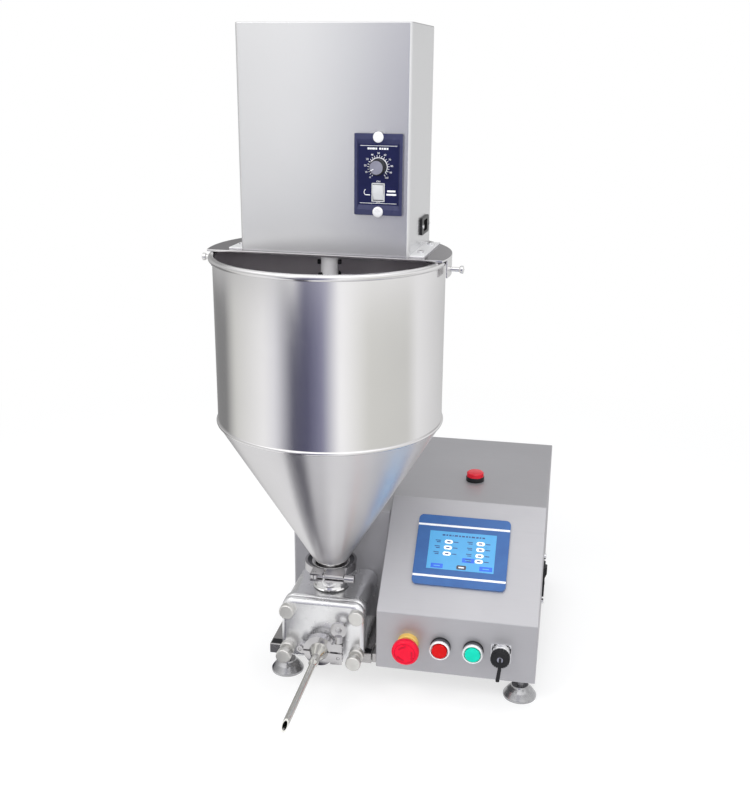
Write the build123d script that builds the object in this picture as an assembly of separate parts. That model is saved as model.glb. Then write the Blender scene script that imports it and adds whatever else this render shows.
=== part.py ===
from build123d import *
import math
import os

# Tabletop cream filling machine, in millimetres: X to the right, Y away from the operator, Z up.
# Pieces are laid out from the cabinet's left front bottom corner, and the finished machine is then
# moved so that its frame starts on the table, at the middle of its footprint.

# Clearances
FIT = 0.05  # running fit on a radius
GAP = 0.3  # free clearance between pieces that move past each other
LOOSE = 0.15  # clearance of a piece in its panel hole

# Sheet metal
SHEET = 1.5
BEND = 2.0

# Control cabinet
CABINET_WIDTH = 235.0
CABINET_DEPTH = 412.0
CABINET_HEIGHT = 220.0
FRONT_HEIGHT = 92.0
SLOPE_RUN = 134.0
VENT_COUNT = 9
VENT_PITCH = 14.0
VENT_LENGTH = 120.0
VENT_WIDTH = 5.0

# Tray and drive housing
TRAY_LENGTH = 165.0
TRAY_HEIGHT = 15.0
TRAY_FRONT = 6.0
HOUSING_WIDTH = 155.0
HOUSING_TOP = 200.0

# Levelling feet
FOOT_HEIGHT = 38.0
FOOT_RADIUS = 24.5
FOOT_RIM = 5.0
FOOT_SHOULDER = 9.0
FOOT_BELL = 15.0
FOOT_STUD_RADIUS = 5.0
FOOT_NUT_RADIUS = 8.5
FOOT_NUT_HEIGHT = 6.0
FOOT_SIDE_INSET = 22.0
FOOT_END_INSET = 26.0

# Pump
PUMP_X = -80.0
PUMP_DEPTH = 111.0
PUMP_CORNER = 18.0
PUMP_HEEL = 4.0
COVER_THICK = 12.0
COVER_DROP = 11.0
COVER_EDGE = 5.0
STUD_SPAN_X = 105.0
STUD_SPAN_Z = 62.0
STUD_EDGE = 10.5
STUD_RISE = 6.0
STUD_DROP = 18.5
STUD_RADIUS = 4.0
STUD_DEPTH = 20.0
NUT_RADIUS = 9.5
SHORT_NUT = 10.0
LONG_NUT = 31.0
NUT_WAIST = 6.5
NUT_EDGE = 1.0
ROTOR_RISE = 45.0
ROTOR_PITCH_RADIUS = 22.0
ROTOR_TEETH = 8
ROTOR_LENGTH = 64.0
TOOTH_PLAY = 0.15
SHAFT_RADIUS = 8.0
STUB_RADIUS = 6.0
STUB_LENGTH = 6.0
SEAL_POCKET_WALL = 6.0
BEARING_RADIUS = 14.0
SEAL_LENGTH = 7.0
BEARING_LENGTH = 12.0
GROOVE_INSET = 2.0
GROOVE_WIDTH = 2.2
GROOVE_DEPTH = 2.0
INLET_BORE = 17.0
OUTLET_BORE = 9.0
OUTLET_RISE = 17.0

# Pump drive
LANTERN_LENGTH = 50.0
LANTERN_PLATE = 8.0
LANTERN_PLATE_HEIGHT = 64.0
LANTERN_RADIUS = 34.0
LANTERN_WALL = 7.0
LANTERN_FLANGE = 8.0
SERVO_FRAME = 80.0
REDUCER_LENGTH = 55.0
SERVO_LENGTH = 115.0
SHAFT_PLUG = 36.0
SERVO_BORE_SPARE = 4.0

# Clamped joints: flange pairs with a gasket, held by hinged clamp rings
FLANGE_THICK = 3.0
GASKET_THICK = 2.0
CLAMP_HALF_WIDTH = 6.0
CLAMP_LIP = 3.5
CLAMP_SPLIT = 3.0
HINGE_OUT = 5.5
HINGE_RADIUS = 5.0
HINGE_EAR = 3.0
LUG_SHARE = 0.22  # how far lugs stand out of a ring, as a share of its radius
LUG_HEIGHT = 12.0
LUG_LENGTH = 18.0
CLAMP_PIN_RADIUS = 2.4
BOLT_RADIUS = 3.0
BOLT_EYE_RADIUS = 5.5

HOPPER_FLANGE = 29.0
HOPPER_CLAMP_WALL = 10.0
HOPPER_PIVOT = 14.0
HOPPER_BOLT_REACH = 45.0
HOPPER_NUT_LENGTH = 15.0
HOPPER_NUT_RADIUS = 6.0
INLET_NECK_RADIUS = 24.0
INLET_NECK = 31.0

OUTLET_FLANGE = 17.0
OUTLET_CLAMP_WALL = 6.5
OUTLET_PIVOT = 9.0
OUTLET_BOLT_REACH = 24.0
OUTLET_NECK_RADIUS = 12.5
OUTLET_NECK = 12.0
WING_HUB_LENGTH = 11.0
WING_HUB_RADIUS = 6.0
WING_WIDTH = 23.0
WING_HEIGHT = 22.0
WING_THICK = 4.0
WING_CORNER = 9.0

# Nozzle
NOZZLE_LENGTH = 194.0
NOZZLE_CONE = 20.0
NOZZLE_BASE = 16.0
NOZZLE_BASE_RADIUS = 7.0
NOZZLE_STEP = 5.0
NEEDLE_RADIUS = 4.5
NEEDLE_BORE = 3.2
TIP_ANGLE = 40.0

# Hopper
HOPPER_SETBACK = 47.5
HOPPER_RADIUS = 160.0
HOPPER_CYLINDER = 231.0
HOPPER_CONE = 218.0
HOPPER_NECK = 12.5
HOPPER_NECK_RADIUS = 20.0
NECK_FLARE = 3.0
CONE_MOUTH_RADIUS = 21.6
RIM_BEAD = 4.5
SEAM_BEAD = 2.5

# Half lid, carried on the hopper's rim and turned a little on it
LID_TURN = -2.5
LID_THICK = 3.0
LID_EDGE = 38.0
LID_SHAFT_HOLE = 10.0
TAB_THICK = 2.2
TAB_WIDTH = 36.0
TAB_DROP = 24.0
THUMB_DROP = 14.5
THUMB_RADIUS = 3.0
THUMB_LENGTH = 21.5
THUMB_HEAD = 6.0
THUMB_HEAD_RADIUS = 5.0

# Motor box
BOX_WIDTH = 234.0
BOX_DEPTH = 152.0
BOX_HEIGHT = 292.0
BOX_FRONT = 30.0
BOX_BEND = 4.0
BRACKET_THICK = 2.0
BRACKET_LENGTH = 122.0
BRACKET_OUT = 20.0
BRACKET_IN = 14.0
BRACKET_RISE = 14.0
BRACKET_START = 4.0
SCREW_RADIUS = 4.5
SCREW_HEIGHT = 3.0
SCREW_SPAN = 70.0

# Mixer gear motor
GEARHEAD_FRAME = 90.0
GEARHEAD_OFFSET = 18.0
GEARHEAD_LENGTH = 65.0
MIXER_MOTOR_RADIUS = 44.0
MIXER_MOTOR_LENGTH = 125.0
OUTPUT_RADIUS = 7.5
OUTPUT_DEPTH = 32.0

# Speed controller on the motor box
CONTROLLER_INSET = 41.0
CONTROLLER_RISE = 105.0
CONTROLLER_WIDTH = 64.0
CONTROLLER_HEIGHT = 104.0
CONTROLLER_THICK = 6.0
CONTROLLER_RIM = 5.0
CONTROLLER_RECESS = 2.0
CONTROLLER_BODY_WIDTH = 36.0
CONTROLLER_BODY_HEIGHT = 80.0
CONTROLLER_BODY_DEPTH = 55.0
KNOB_RISE = 10.0
KNOB_RADIUS = 10.5
KNOB_LENGTH = 14.0
KNOB_SKIRT = 3.5
KNOB_GRIP_RADIUS = 8.0
KNOB_NOTCH = 1.5
KNOB_SHAFT_RADIUS = 3.0
KNOB_SHAFT_LENGTH = 10.0
SWITCH_DROP = 22.5

# Rocker switches
ROCKER_WIDTH = 14.0
ROCKER_LENGTH = 20.0
ROCKER_TILT = 10.0
ROCKER_CREST = 3.0
ROCKER_EDGE = 1.2
ROCKER_DEPTH = 4.0
ROCKER_PLAY = 0.8

# Power inlets
INLET_LENGTH = 50.0
INLET_WIDTH = 24.0
INLET_FLANGE = 3.0
INLET_BODY = 28.0
SOCKET_LENGTH = 24.0
SOCKET_WIDTH = 16.0
SOCKET_DEPTH = 16.0
SOCKET_CORNER = 4.0
INLET_EAR = 4.0
MIXER_INLET_Y = 71.0
MIXER_INLET_RISE = 28.0
MAINS_Y = 186.0
MAINS_Z = 75.0
MAINS_LENGTH = 50.0
MAINS_WIDTH = 30.0
MAINS_SCREW_SPAN = 79.0

# Touch panel on the slope
TOUCH_WIDTH = 138.0
TOUCH_HEIGHT = 110.0
TOUCH_X = 115.0
TOUCH_UP = 101.5
TOUCH_THICK = 5.0
TOUCH_CORNER = 7.0
TOUCH_BODY_INSET = 6.0
TOUCH_BODY_DEPTH = 34.0
SCREEN_WIDTH = 100.0
SCREEN_HEIGHT = 60.0
SCREEN_THICK = 1.5

# Electronics standing on the cabinet's floor
SERVO_DRIVE_X = 26.0
SERVO_DRIVE_WIDTH = 44.0
SERVO_DRIVE_DEPTH = 154.0
SERVO_DRIVE_HEIGHT = 148.0
SUPPLY_X = 102.0
SUPPLY_WIDTH = 94.0
SUPPLY_DEPTH = 154.0
SUPPLY_HEIGHT = 42.0
ELECTRONICS_BACK = 50.0

# Row of controls on the cabinet's front
CONTROL_Z = 45.0
ESTOP_X = 48.0
STOP_X = 96.0
START_X = 144.0
PEDAL_X = 184.0
PANEL_HOLE_RADIUS = 11.0
BARREL_LENGTH = 28.0
CONTACT_BLOCK = 28.0
CONTACT_DEPTH = 24.0
ESTOP_COLLAR_RADIUS = 16.0
ESTOP_COLLAR_THICK = 10.0
ESTOP_COLLAR_TAPER = 1.0
ESTOP_STEM_RADIUS = 6.0
ESTOP_STEM_REACH = 26.0
ESTOP_PRESS = 4.0
ESTOP_HEAD_RADIUS = 20.0
ESTOP_HEAD_THICK = 13.0
ESTOP_FACE_ROUND = 5.0
ESTOP_BACK_ROUND = 2.5
ESTOP_HEAD_LIFT = 9.0
ESTOP_STEM_GRIP = 8.0
BUTTON_BEZEL_RADIUS = 15.0
BUTTON_BEZEL_THICK = 15.0
BUTTON_BEZEL_EDGE = 2.0
BUTTON_CAP_RADIUS = 12.2
BUTTON_PROUD = 1.0
BUTTON_PRESS = 3.0
BUTTON_CAP_THICK = 8.0
BUTTON_STEM_RADIUS = 4.0
BUTTON_STEM_LENGTH = 14.0
PEDAL_FLANGE = 30.0
PEDAL_FLANGE_THICK = 2.5
PEDAL_COLLAR_RADIUS = 12.5
PEDAL_COLLAR = 9.0
PEDAL_RADIUS = 9.5
PEDAL_LENGTH = 17.0
PEDAL_BACK = 16.0
CAP_RADIUS = 14.0
CAP_END = 4.0
CAP_LENGTH = 11.0
TAB_TAIL_LENGTH = 22.0
TAB_TAIL_WIDTH = 5.0
TAB_TAIL_THICK = 3.0

# Signal lamp on the cabinet's top
LAMP_X = 118.0
LAMP_BACK = 88.0
LAMP_RADIUS = 14.5
LAMP_BASE_HEIGHT = 7.0
LAMP_LENS_RADIUS = 13.5
LAMP_LENS_HEIGHT = 8.0
LAMP_EDGE = 2.0

# Stirrer
COUPLING_RADIUS = 14.3
COUPLING_LENGTH = 50.0
COUPLING_DROP = 4.0
STIRRER_RADIUS = 8.0
STIRRER_FLOOR = 50.0
PADDLE_HEIGHT = 30.0
PADDLE_THICK = 4.0
PADDLE_TILT = 45.0
PADDLE_REACH = (115.0, 95.0, 52.0)
PADDLE_RISE = (300.0, 200.0, 108.0)

# Levels and places that follow from the sizes above
PUMP_BASE = TRAY_HEIGHT
PUMP_WIDTH = STUD_SPAN_X + 2 * STUD_EDGE
STUD_LOW = PUMP_BASE + STUD_RISE
STUD_HIGH = STUD_LOW + STUD_SPAN_Z
PUMP_TOP = STUD_HIGH + STUD_DROP
PUMP_BACK = TRAY_FRONT + PUMP_DEPTH
COVER_FRONT = TRAY_FRONT - COVER_THICK
ROTOR_Z = PUMP_BASE + ROTOR_RISE
DRIVE_X = PUMP_X - ROTOR_PITCH_RADIUS
DRIVEN_X = PUMP_X + ROTOR_PITCH_RADIUS
TOOTH_HEIGHT = ROTOR_PITCH_RADIUS / ROTOR_TEETH
CHAMBER_RADIUS = ROTOR_PITCH_RADIUS + TOOTH_HEIGHT + GAP
CHAMBER_BACK = TRAY_FRONT + ROTOR_LENGTH + 2 * GAP
SEAL_FRONT = CHAMBER_BACK + SEAL_POCKET_WALL
BEARING_BACK = PUMP_BACK - GAP
OUTLET_Z = PUMP_BASE + OUTLET_RISE
HOPPER_X = PUMP_X
HOPPER_Y = TRAY_FRONT + HOPPER_SETBACK
FLANGE_PAIR = 2 * FLANGE_THICK + GASKET_THICK
INLET_FLANGE_Z = PUMP_TOP + INLET_NECK
HOPPER_CLAMP_Z = INLET_FLANGE_Z + FLANGE_PAIR / 2
HOPPER_BASE = INLET_FLANGE_Z + FLANGE_THICK + GASKET_THICK
CONE_BASE = HOPPER_BASE + FLANGE_THICK + HOPPER_NECK
SEAM_Z = CONE_BASE + HOPPER_CONE
SEAM_WELD = SEAM_Z - 2 * SEAM_BEAD
RIM_Z = SEAM_Z + HOPPER_CYLINDER
OUTLET_FLANGE_Y = COVER_FRONT - OUTLET_NECK
OUTLET_CLAMP_Y = OUTLET_FLANGE_Y - FLANGE_PAIR / 2
NOZZLE_Y = OUTLET_FLANGE_Y - FLANGE_THICK - GASKET_THICK
TIP_Y = NOZZLE_Y - FLANGE_THICK - NOZZLE_LENGTH
HOUSING_FRONT = PUMP_BACK
LANTERN_BACK = PUMP_BACK + LANTERN_LENGTH
REDUCER_BACK = LANTERN_BACK + REDUCER_LENGTH
BEAD_CENTRE = HOPPER_RADIUS + RIM_BEAD / 4
BEAD_OUTER = BEAD_CENTRE + RIM_BEAD
TAB_INNER = BEAD_OUTER + 2 * GAP
LID_RADIUS = TAB_INNER + TAB_THICK
LID_BASE = RIM_Z + RIM_BEAD + GAP
LID_TOP = LID_BASE + LID_THICK
BOX_BASE = LID_TOP + BRACKET_THICK
BOX_TOP = BOX_BASE + BOX_HEIGHT
THUMB_Z = LID_BASE - THUMB_DROP
THUMB_TIP = TAB_INNER - GAP
COUPLING_TOP = LID_BASE - COUPLING_DROP
COUPLING_BASE = COUPLING_TOP - COUPLING_LENGTH
SHAFT_JOIN = COUPLING_TOP - COUPLING_LENGTH / 2
STIRRER_BASE = CONE_BASE + STIRRER_FLOOR
CONTROLLER_X = BOX_WIDTH / 2 - CONTROLLER_INSET
CONTROLLER_Z = BOX_BASE + CONTROLLER_RISE
KNOB_Z = CONTROLLER_Z + KNOB_RISE
SWITCH_Z = CONTROLLER_Z - SWITCH_DROP
CONTROLLER_FACE = BOX_FRONT + CONTROLLER_THICK - CONTROLLER_RECESS
LAMP_Y = SLOPE_RUN + LAMP_BACK
FOOT_FLOOR = -FOOT_HEIGHT
SLOPE_ANGLE = math.degrees(math.atan2(CABINET_HEIGHT - FRONT_HEIGHT, SLOPE_RUN))

# The sloped face: X along the machine, Y up the slope, Z out of it
SLOPE = Plane(
    origin=(0, 0, FRONT_HEIGHT),
    x_dir=(1, 0, 0),
    z_dir=(0, -math.sin(math.radians(SLOPE_ANGLE)), math.cos(math.radians(SLOPE_ANGLE))),
)
# The lid's own place: its middle on the hopper's axis
LID_PLACE = Pos(HOPPER_X, HOPPER_Y, 0) * Rot(0, 0, LID_TURN)
# Clamp places: local Z is the ring's axis, local -Y the side with the bolt, local X along the bolt
HOPPER_CLAMP_PLACE = Pos(HOPPER_X, HOPPER_Y, HOPPER_CLAMP_Z)
OUTLET_CLAMP_PLACE = Plane(
    origin=(PUMP_X, OUTLET_CLAMP_Y, OUTLET_Z), x_dir=(0, 0, 1), z_dir=(0, -1, 0)
).location
# Rocker places: local X is the rocker's pivot, local Y its length, local Z out of the panel
MIXER_ROCKER_PLACE = Plane(
    origin=(CONTROLLER_X, -CONTROLLER_FACE, SWITCH_Z), x_dir=(1, 0, 0), z_dir=(0, -1, 0)
).location
MAINS_ROCKER_PLACE = Plane(
    origin=(CABINET_WIDTH + INLET_FLANGE, MAINS_Y, MAINS_Z + MAINS_LENGTH / 4),
    x_dir=(0, 1, 0),
    z_dir=(1, 0, 0),
).location


def block(x0, x1, y0, y1, z0, z1):
    """Box between two corners."""
    return Pos((x0 + x1) / 2, (y0 + y1) / 2, (z0 + z1) / 2) * Box(x1 - x0, y1 - y0, z1 - z0)


def rod_x(y, z, x0, x1, radius):
    return Pos((x0 + x1) / 2, y, z) * Rot(0, 90, 0) * Cylinder(radius, x1 - x0)


def rod_y(x, z, y0, y1, radius):
    return Pos(x, (y0 + y1) / 2, z) * Rot(90, 0, 0) * Cylinder(radius, y1 - y0)


def rod_z(x, y, z0, z1, radius):
    return Pos(x, y, (z0 + z1) / 2) * Cylinder(radius, z1 - z0)


def turned_y(x, z, steps):
    """Turned piece along Y through (x, z): steps are (y, radius) from one end to the other."""
    points = [(0, steps[0][0])] + [(radius, y) for y, radius in steps] + [(0, steps[-1][0])]
    return Pos(x, 0, z) * revolve(make_face(Polyline(points, close=True)), Axis.Y)


def turned_z(x, y, steps):
    """Turned piece along Z through (x, y): steps are (z, radius) from one end to the other."""
    points = [(0, steps[0][0])] + [(radius, z) for z, radius in steps] + [(0, steps[-1][0])]
    return Pos(x, y, 0) * revolve(Plane.XZ * make_face(Polyline(points, close=True)), Axis.Z)


def group(solids):
    """Separate solids that share one node."""
    return Compound([solid for piece in solids for solid in piece.solids()])


def mirrored_pair(piece):
    """A piece and its mirror image left and right."""
    return group([piece, mirror(piece, Plane.YZ)])


# Cabinet, tray and housing


def cabinet_outline(below, behind):
    """Side view of the cabinet, carried on below and behind it where those sides stay open."""
    points = [
        (0, -below),
        (0, FRONT_HEIGHT),
        (SLOPE_RUN, CABINET_HEIGHT),
        (CABINET_DEPTH + behind, CABINET_HEIGHT),
        (CABINET_DEPTH + behind, -below),
    ]
    return Plane.YZ * make_face(Polyline(points, close=True))


def control_cabinet():
    outer = extrude(cabinet_outline(0, 0), CABINET_WIDTH)
    open_edges = outer.edges().filter_by_position(Axis.Z, 0, 0)
    open_edges += outer.edges().filter_by_position(Axis.Y, CABINET_DEPTH, CABINET_DEPTH)
    folds = [e for e in outer.edges() if e not in open_edges]
    outer = fillet(folds, BEND)
    hollow = offset(cabinet_outline(2 * SHEET, 2 * SHEET), amount=-SHEET, kind=Kind.INTERSECTION)
    shell = outer - Pos(SHEET, 0, 0) * extrude(hollow, CABINET_WIDTH - 2 * SHEET)
    for x in (ESTOP_X, STOP_X, START_X):
        shell -= rod_y(x, CONTROL_Z, -SHEET, 2 * SHEET, PANEL_HOLE_RADIUS + LOOSE)
    shell -= rod_y(PEDAL_X, CONTROL_Z, -SHEET, 2 * SHEET, PEDAL_RADIUS + LOOSE)
    lamp_hole = PANEL_HOLE_RADIUS + LOOSE
    shell -= rod_z(LAMP_X, LAMP_Y, CABINET_HEIGHT - 2 * SHEET, CABINET_HEIGHT + SHEET, lamp_hole)
    shell -= touch_body(LOOSE)
    shell -= mains_body(LOOSE)
    return shell


def cabinet_back_panel():
    panel = block(
        SHEET, CABINET_WIDTH - SHEET, CABINET_DEPTH - SHEET, CABINET_DEPTH, SHEET, CABINET_HEIGHT - SHEET
    )
    middle = CABINET_HEIGHT / 2
    for i in range(VENT_COUNT):
        z = middle + (i - (VENT_COUNT - 1) / 2) * VENT_PITCH
        slot = Plane.XZ * SlotOverall(VENT_LENGTH, VENT_WIDTH)
        panel -= Pos(CABINET_WIDTH / 2, CABINET_DEPTH + SHEET, z) * extrude(slot, 4 * SHEET, both=True)
    return panel


def cabinet_floor():
    plate = block(SHEET, CABINET_WIDTH - SHEET, SHEET, CABINET_DEPTH, 0, SHEET)
    for x, y in foot_places()[:2]:
        plate -= rod_z(x, y, -SHEET, 2 * SHEET, FOOT_STUD_RADIUS + LOOSE)
    return plate


def pump_tray():
    outer = block(-TRAY_LENGTH, 0, TRAY_FRONT, CABINET_DEPTH, 0, TRAY_HEIGHT)
    hollow = block(
        -TRAY_LENGTH + SHEET, -SHEET, TRAY_FRONT + SHEET, CABINET_DEPTH - SHEET, -SHEET, TRAY_HEIGHT - SHEET
    )
    return outer - hollow


def drive_housing():
    outer = block(-HOUSING_WIDTH, 0, HOUSING_FRONT, CABINET_DEPTH, TRAY_HEIGHT, HOUSING_TOP)
    left_edges = outer.edges().filter_by_position(Axis.X, -HOUSING_WIDTH, -HOUSING_WIDTH)
    top_edges = outer.edges().filter_by_position(Axis.Z, HOUSING_TOP, HOUSING_TOP).filter_by(Axis.X)
    folds = [e for e in left_edges if e.center().Z > TRAY_HEIGHT] + list(top_edges)
    outer = fillet(folds, BEND)
    hollow = block(
        -HOUSING_WIDTH + SHEET, SHEET, HOUSING_FRONT + SHEET, CABINET_DEPTH - SHEET, 0, HOUSING_TOP - SHEET
    )
    lantern_hole = block(
        DRIVE_X - LANTERN_RADIUS - GAP,
        lantern_end() + GAP,
        HOUSING_FRONT - SHEET,
        HOUSING_FRONT + 2 * SHEET,
        ROTOR_Z - LANTERN_RADIUS - GAP,
        ROTOR_Z + LANTERN_RADIUS + GAP,
    )
    return outer - hollow - lantern_hole


def foot_places():
    """Middle of each foot: the cabinet's two, then the tray's two."""
    right = CABINET_WIDTH - FOOT_SIDE_INSET
    left = -TRAY_LENGTH + FOOT_SIDE_INSET
    back = CABINET_DEPTH - FOOT_END_INSET
    return [(right, FOOT_END_INSET), (right, back), (left, FOOT_END_INSET), (left, back)]


def levelling_feet():
    """Four bell shaped feet on studs, each with the welded nut it screws into."""
    solids = []
    for i, (x, y) in enumerate(foot_places()):
        under_floor = i < 2
        nut_base = SHEET if under_floor else TRAY_HEIGHT - SHEET - FOOT_NUT_HEIGHT
        nut_top = nut_base + FOOT_NUT_HEIGHT
        steps = [
            (FOOT_FLOOR, FOOT_RADIUS),
            (FOOT_FLOOR + FOOT_RIM, FOOT_RADIUS),
            (FOOT_FLOOR + FOOT_BELL, FOOT_SHOULDER),
            (FOOT_FLOOR + FOOT_BELL + FOOT_RIM, FOOT_SHOULDER),
            (FOOT_FLOOR + FOOT_BELL + FOOT_RIM, FOOT_STUD_RADIUS),
            (nut_top, FOOT_STUD_RADIUS),
        ]
        solids.append(turned_z(x, y, steps))
        hexagon = extrude(RegularPolygon(FOOT_NUT_RADIUS, 6), FOOT_NUT_HEIGHT)
        nut = Pos(x, y, nut_base) * hexagon
        solids.append(nut - rod_z(x, y, nut_base, nut_top, FOOT_STUD_RADIUS + FIT))
    return group(solids)


def cabinet_electronics():
    """Servo drive and power supply standing on the cabinet's floor."""
    back = CABINET_DEPTH - ELECTRONICS_BACK
    base = SHEET + GAP
    drive_end = SERVO_DRIVE_X + SERVO_DRIVE_WIDTH
    drive = block(SERVO_DRIVE_X, drive_end, back - SERVO_DRIVE_DEPTH, back, base, base + SERVO_DRIVE_HEIGHT)
    supply_end = SUPPLY_X + SUPPLY_WIDTH
    supply = block(SUPPLY_X, supply_end, back - SUPPLY_DEPTH, back, base, base + SUPPLY_HEIGHT)
    return group([drive, supply])


# Controls on the cabinet


def touch_body(grow):
    """Body of the touch panel behind the slope, or its cut-out when grown."""
    width = TOUCH_WIDTH - 2 * TOUCH_BODY_INSET + 2 * grow
    height = TOUCH_HEIGHT - 2 * TOUCH_BODY_INSET + 2 * grow
    return SLOPE * Pos(TOUCH_X, TOUCH_UP, -TOUCH_BODY_DEPTH / 2) * Box(width, height, TOUCH_BODY_DEPTH)


def touch_panel():
    plate = extrude(RectangleRounded(TOUCH_WIDTH, TOUCH_HEIGHT, TOUCH_CORNER), TOUCH_THICK)
    plate = fillet(plate.faces().sort_by(Axis.Z)[-1].edges(), SCREEN_THICK)
    window = Pos(0, 0, TOUCH_THICK - SCREEN_THICK / 2) * Box(SCREEN_WIDTH, SCREEN_HEIGHT, SCREEN_THICK)
    return SLOPE * Pos(TOUCH_X, TOUCH_UP, 0) * (plate - window) + touch_body(0)


def touch_screen():
    glass = Box(SCREEN_WIDTH - 2 * LOOSE, SCREEN_HEIGHT - 2 * LOOSE, SCREEN_THICK)
    return SLOPE * Pos(TOUCH_X, TOUCH_UP, TOUCH_THICK - SCREEN_THICK / 2) * glass


def contact_barrel(x, bore, bore_end):
    """Threaded barrel and contact block behind a panel control, bored for its stem."""
    half = CONTACT_BLOCK / 2
    barrel = rod_y(x, CONTROL_Z, 0, BARREL_LENGTH, PANEL_HOLE_RADIUS)
    barrel += block(
        x - half, x + half, BARREL_LENGTH, BARREL_LENGTH + CONTACT_DEPTH, CONTROL_Z - half, CONTROL_Z + half
    )
    return barrel - rod_y(x, CONTROL_Z, -SHEET, bore_end, bore)


def estop_collar():
    collar = turned_y(
        ESTOP_X,
        CONTROL_Z,
        [
            (-ESTOP_COLLAR_THICK, ESTOP_COLLAR_RADIUS - ESTOP_COLLAR_TAPER),
            (-ESTOP_COLLAR_TAPER, ESTOP_COLLAR_RADIUS),
            (0, ESTOP_COLLAR_RADIUS),
        ],
    )
    bore = ESTOP_STEM_RADIUS + FIT
    bore_end = ESTOP_STEM_REACH + ESTOP_PRESS + GAP
    collar -= rod_y(ESTOP_X, CONTROL_Z, -ESTOP_COLLAR_THICK, 0, bore)
    return collar + contact_barrel(ESTOP_X, bore, bore_end)


def estop_head_back():
    return -ESTOP_COLLAR_THICK - ESTOP_HEAD_LIFT


def estop_stem():
    front = estop_head_back() - ESTOP_STEM_GRIP
    return rod_y(ESTOP_X, CONTROL_Z, front, ESTOP_STEM_REACH, ESTOP_STEM_RADIUS)


def estop_head():
    back = estop_head_back()
    front = back - ESTOP_HEAD_THICK
    head = rod_y(ESTOP_X, CONTROL_Z, front, back, ESTOP_HEAD_RADIUS)
    head = fillet(head.faces().sort_by(Axis.Y)[0].edges(), ESTOP_FACE_ROUND)
    head = fillet(head.faces().sort_by(Axis.Y)[-1].edges(), ESTOP_BACK_ROUND)
    socket = rod_y(ESTOP_X, CONTROL_Z, back - ESTOP_STEM_GRIP - GAP, back + SHEET, ESTOP_STEM_RADIUS + FIT)
    return head - socket


def button_cap_back():
    return -BUTTON_BEZEL_THICK - BUTTON_PROUD + BUTTON_CAP_THICK


def button_body(x):
    """Bezel, barrel and contact block of one 22 mm push button."""
    bezel = turned_y(
        x,
        CONTROL_Z,
        [
            (-BUTTON_BEZEL_THICK, BUTTON_BEZEL_RADIUS - BUTTON_BEZEL_EDGE),
            (-BUTTON_BEZEL_THICK + BUTTON_BEZEL_EDGE, BUTTON_BEZEL_RADIUS),
            (0, BUTTON_BEZEL_RADIUS),
        ],
    )
    stem_end = button_cap_back() + BUTTON_STEM_LENGTH + BUTTON_PRESS + GAP
    body = bezel + contact_barrel(x, BUTTON_STEM_RADIUS + FIT, stem_end)
    well_end = button_cap_back() + BUTTON_PRESS + GAP
    body -= rod_y(x, CONTROL_Z, -BUTTON_BEZEL_THICK - SHEET, well_end, BUTTON_CAP_RADIUS + GAP)
    return body - rod_y(x, CONTROL_Z, -BUTTON_BEZEL_THICK, stem_end, BUTTON_STEM_RADIUS + FIT)


def button_cap(x):
    back = button_cap_back()
    front = back - BUTTON_CAP_THICK
    return turned_y(
        x,
        CONTROL_Z,
        [
            (front, BUTTON_CAP_RADIUS - SHEET / 2),
            (front + SHEET / 2, BUTTON_CAP_RADIUS),
            (back, BUTTON_CAP_RADIUS),
            (back, BUTTON_STEM_RADIUS),
            (back + BUTTON_STEM_LENGTH, BUTTON_STEM_RADIUS),
        ],
    )


def pedal_socket():
    half = PEDAL_FLANGE / 2
    left, right = PEDAL_X - half, PEDAL_X + half
    flange = block(left, right, -PEDAL_FLANGE_THICK, 0, CONTROL_Z - half, CONTROL_Z + half)
    collar = rod_y(PEDAL_X, CONTROL_Z, -PEDAL_COLLAR, 0, PEDAL_COLLAR_RADIUS)
    return flange + collar + rod_y(PEDAL_X, CONTROL_Z, -PEDAL_LENGTH, PEDAL_BACK, PEDAL_RADIUS)


def socket_dust_cap():
    """Round cap over the socket, with a short tab that hangs from its rim."""
    front = -PEDAL_LENGTH - CAP_END
    back = front + CAP_LENGTH
    cap = rod_y(PEDAL_X, CONTROL_Z, front, back, CAP_RADIUS)
    cap = fillet(cap.faces().sort_by(Axis.Y)[0].edges(), SHEET)
    low = CONTROL_Z - CAP_RADIUS - TAB_TAIL_LENGTH
    tail_y = (front + back) / 2
    tail = block(
        PEDAL_X - TAB_TAIL_WIDTH / 2,
        PEDAL_X + TAB_TAIL_WIDTH / 2,
        tail_y - TAB_TAIL_THICK / 2,
        tail_y + TAB_TAIL_THICK / 2,
        low,
        CONTROL_Z,
    )
    return cap + tail - rod_y(PEDAL_X, CONTROL_Z, -PEDAL_LENGTH - GAP, back + SHEET, PEDAL_RADIUS + GAP)


def lamp_base():
    base = rod_z(LAMP_X, LAMP_Y, CABINET_HEIGHT, CABINET_HEIGHT + LAMP_BASE_HEIGHT, LAMP_RADIUS)
    return base + rod_z(LAMP_X, LAMP_Y, CABINET_HEIGHT - BARREL_LENGTH, CABINET_HEIGHT, PANEL_HOLE_RADIUS)


def lamp_lens():
    foot = CABINET_HEIGHT + LAMP_BASE_HEIGHT
    lens = rod_z(LAMP_X, LAMP_Y, foot, foot + LAMP_LENS_HEIGHT, LAMP_LENS_RADIUS)
    return fillet(lens.faces().sort_by(Axis.Z)[-1].edges(), LAMP_EDGE)


def mains_body(grow):
    """Body of the mains inlet behind the cabinet's right side, or its cut-out when grown."""
    half_y = MAINS_WIDTH / 2 - SHEET + grow
    half_z = MAINS_LENGTH / 2 - SHEET + grow
    return block(
        CABINET_WIDTH - INLET_BODY,
        CABINET_WIDTH,
        MAINS_Y - half_y,
        MAINS_Y + half_y,
        MAINS_Z - half_z,
        MAINS_Z + half_z,
    )


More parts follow.
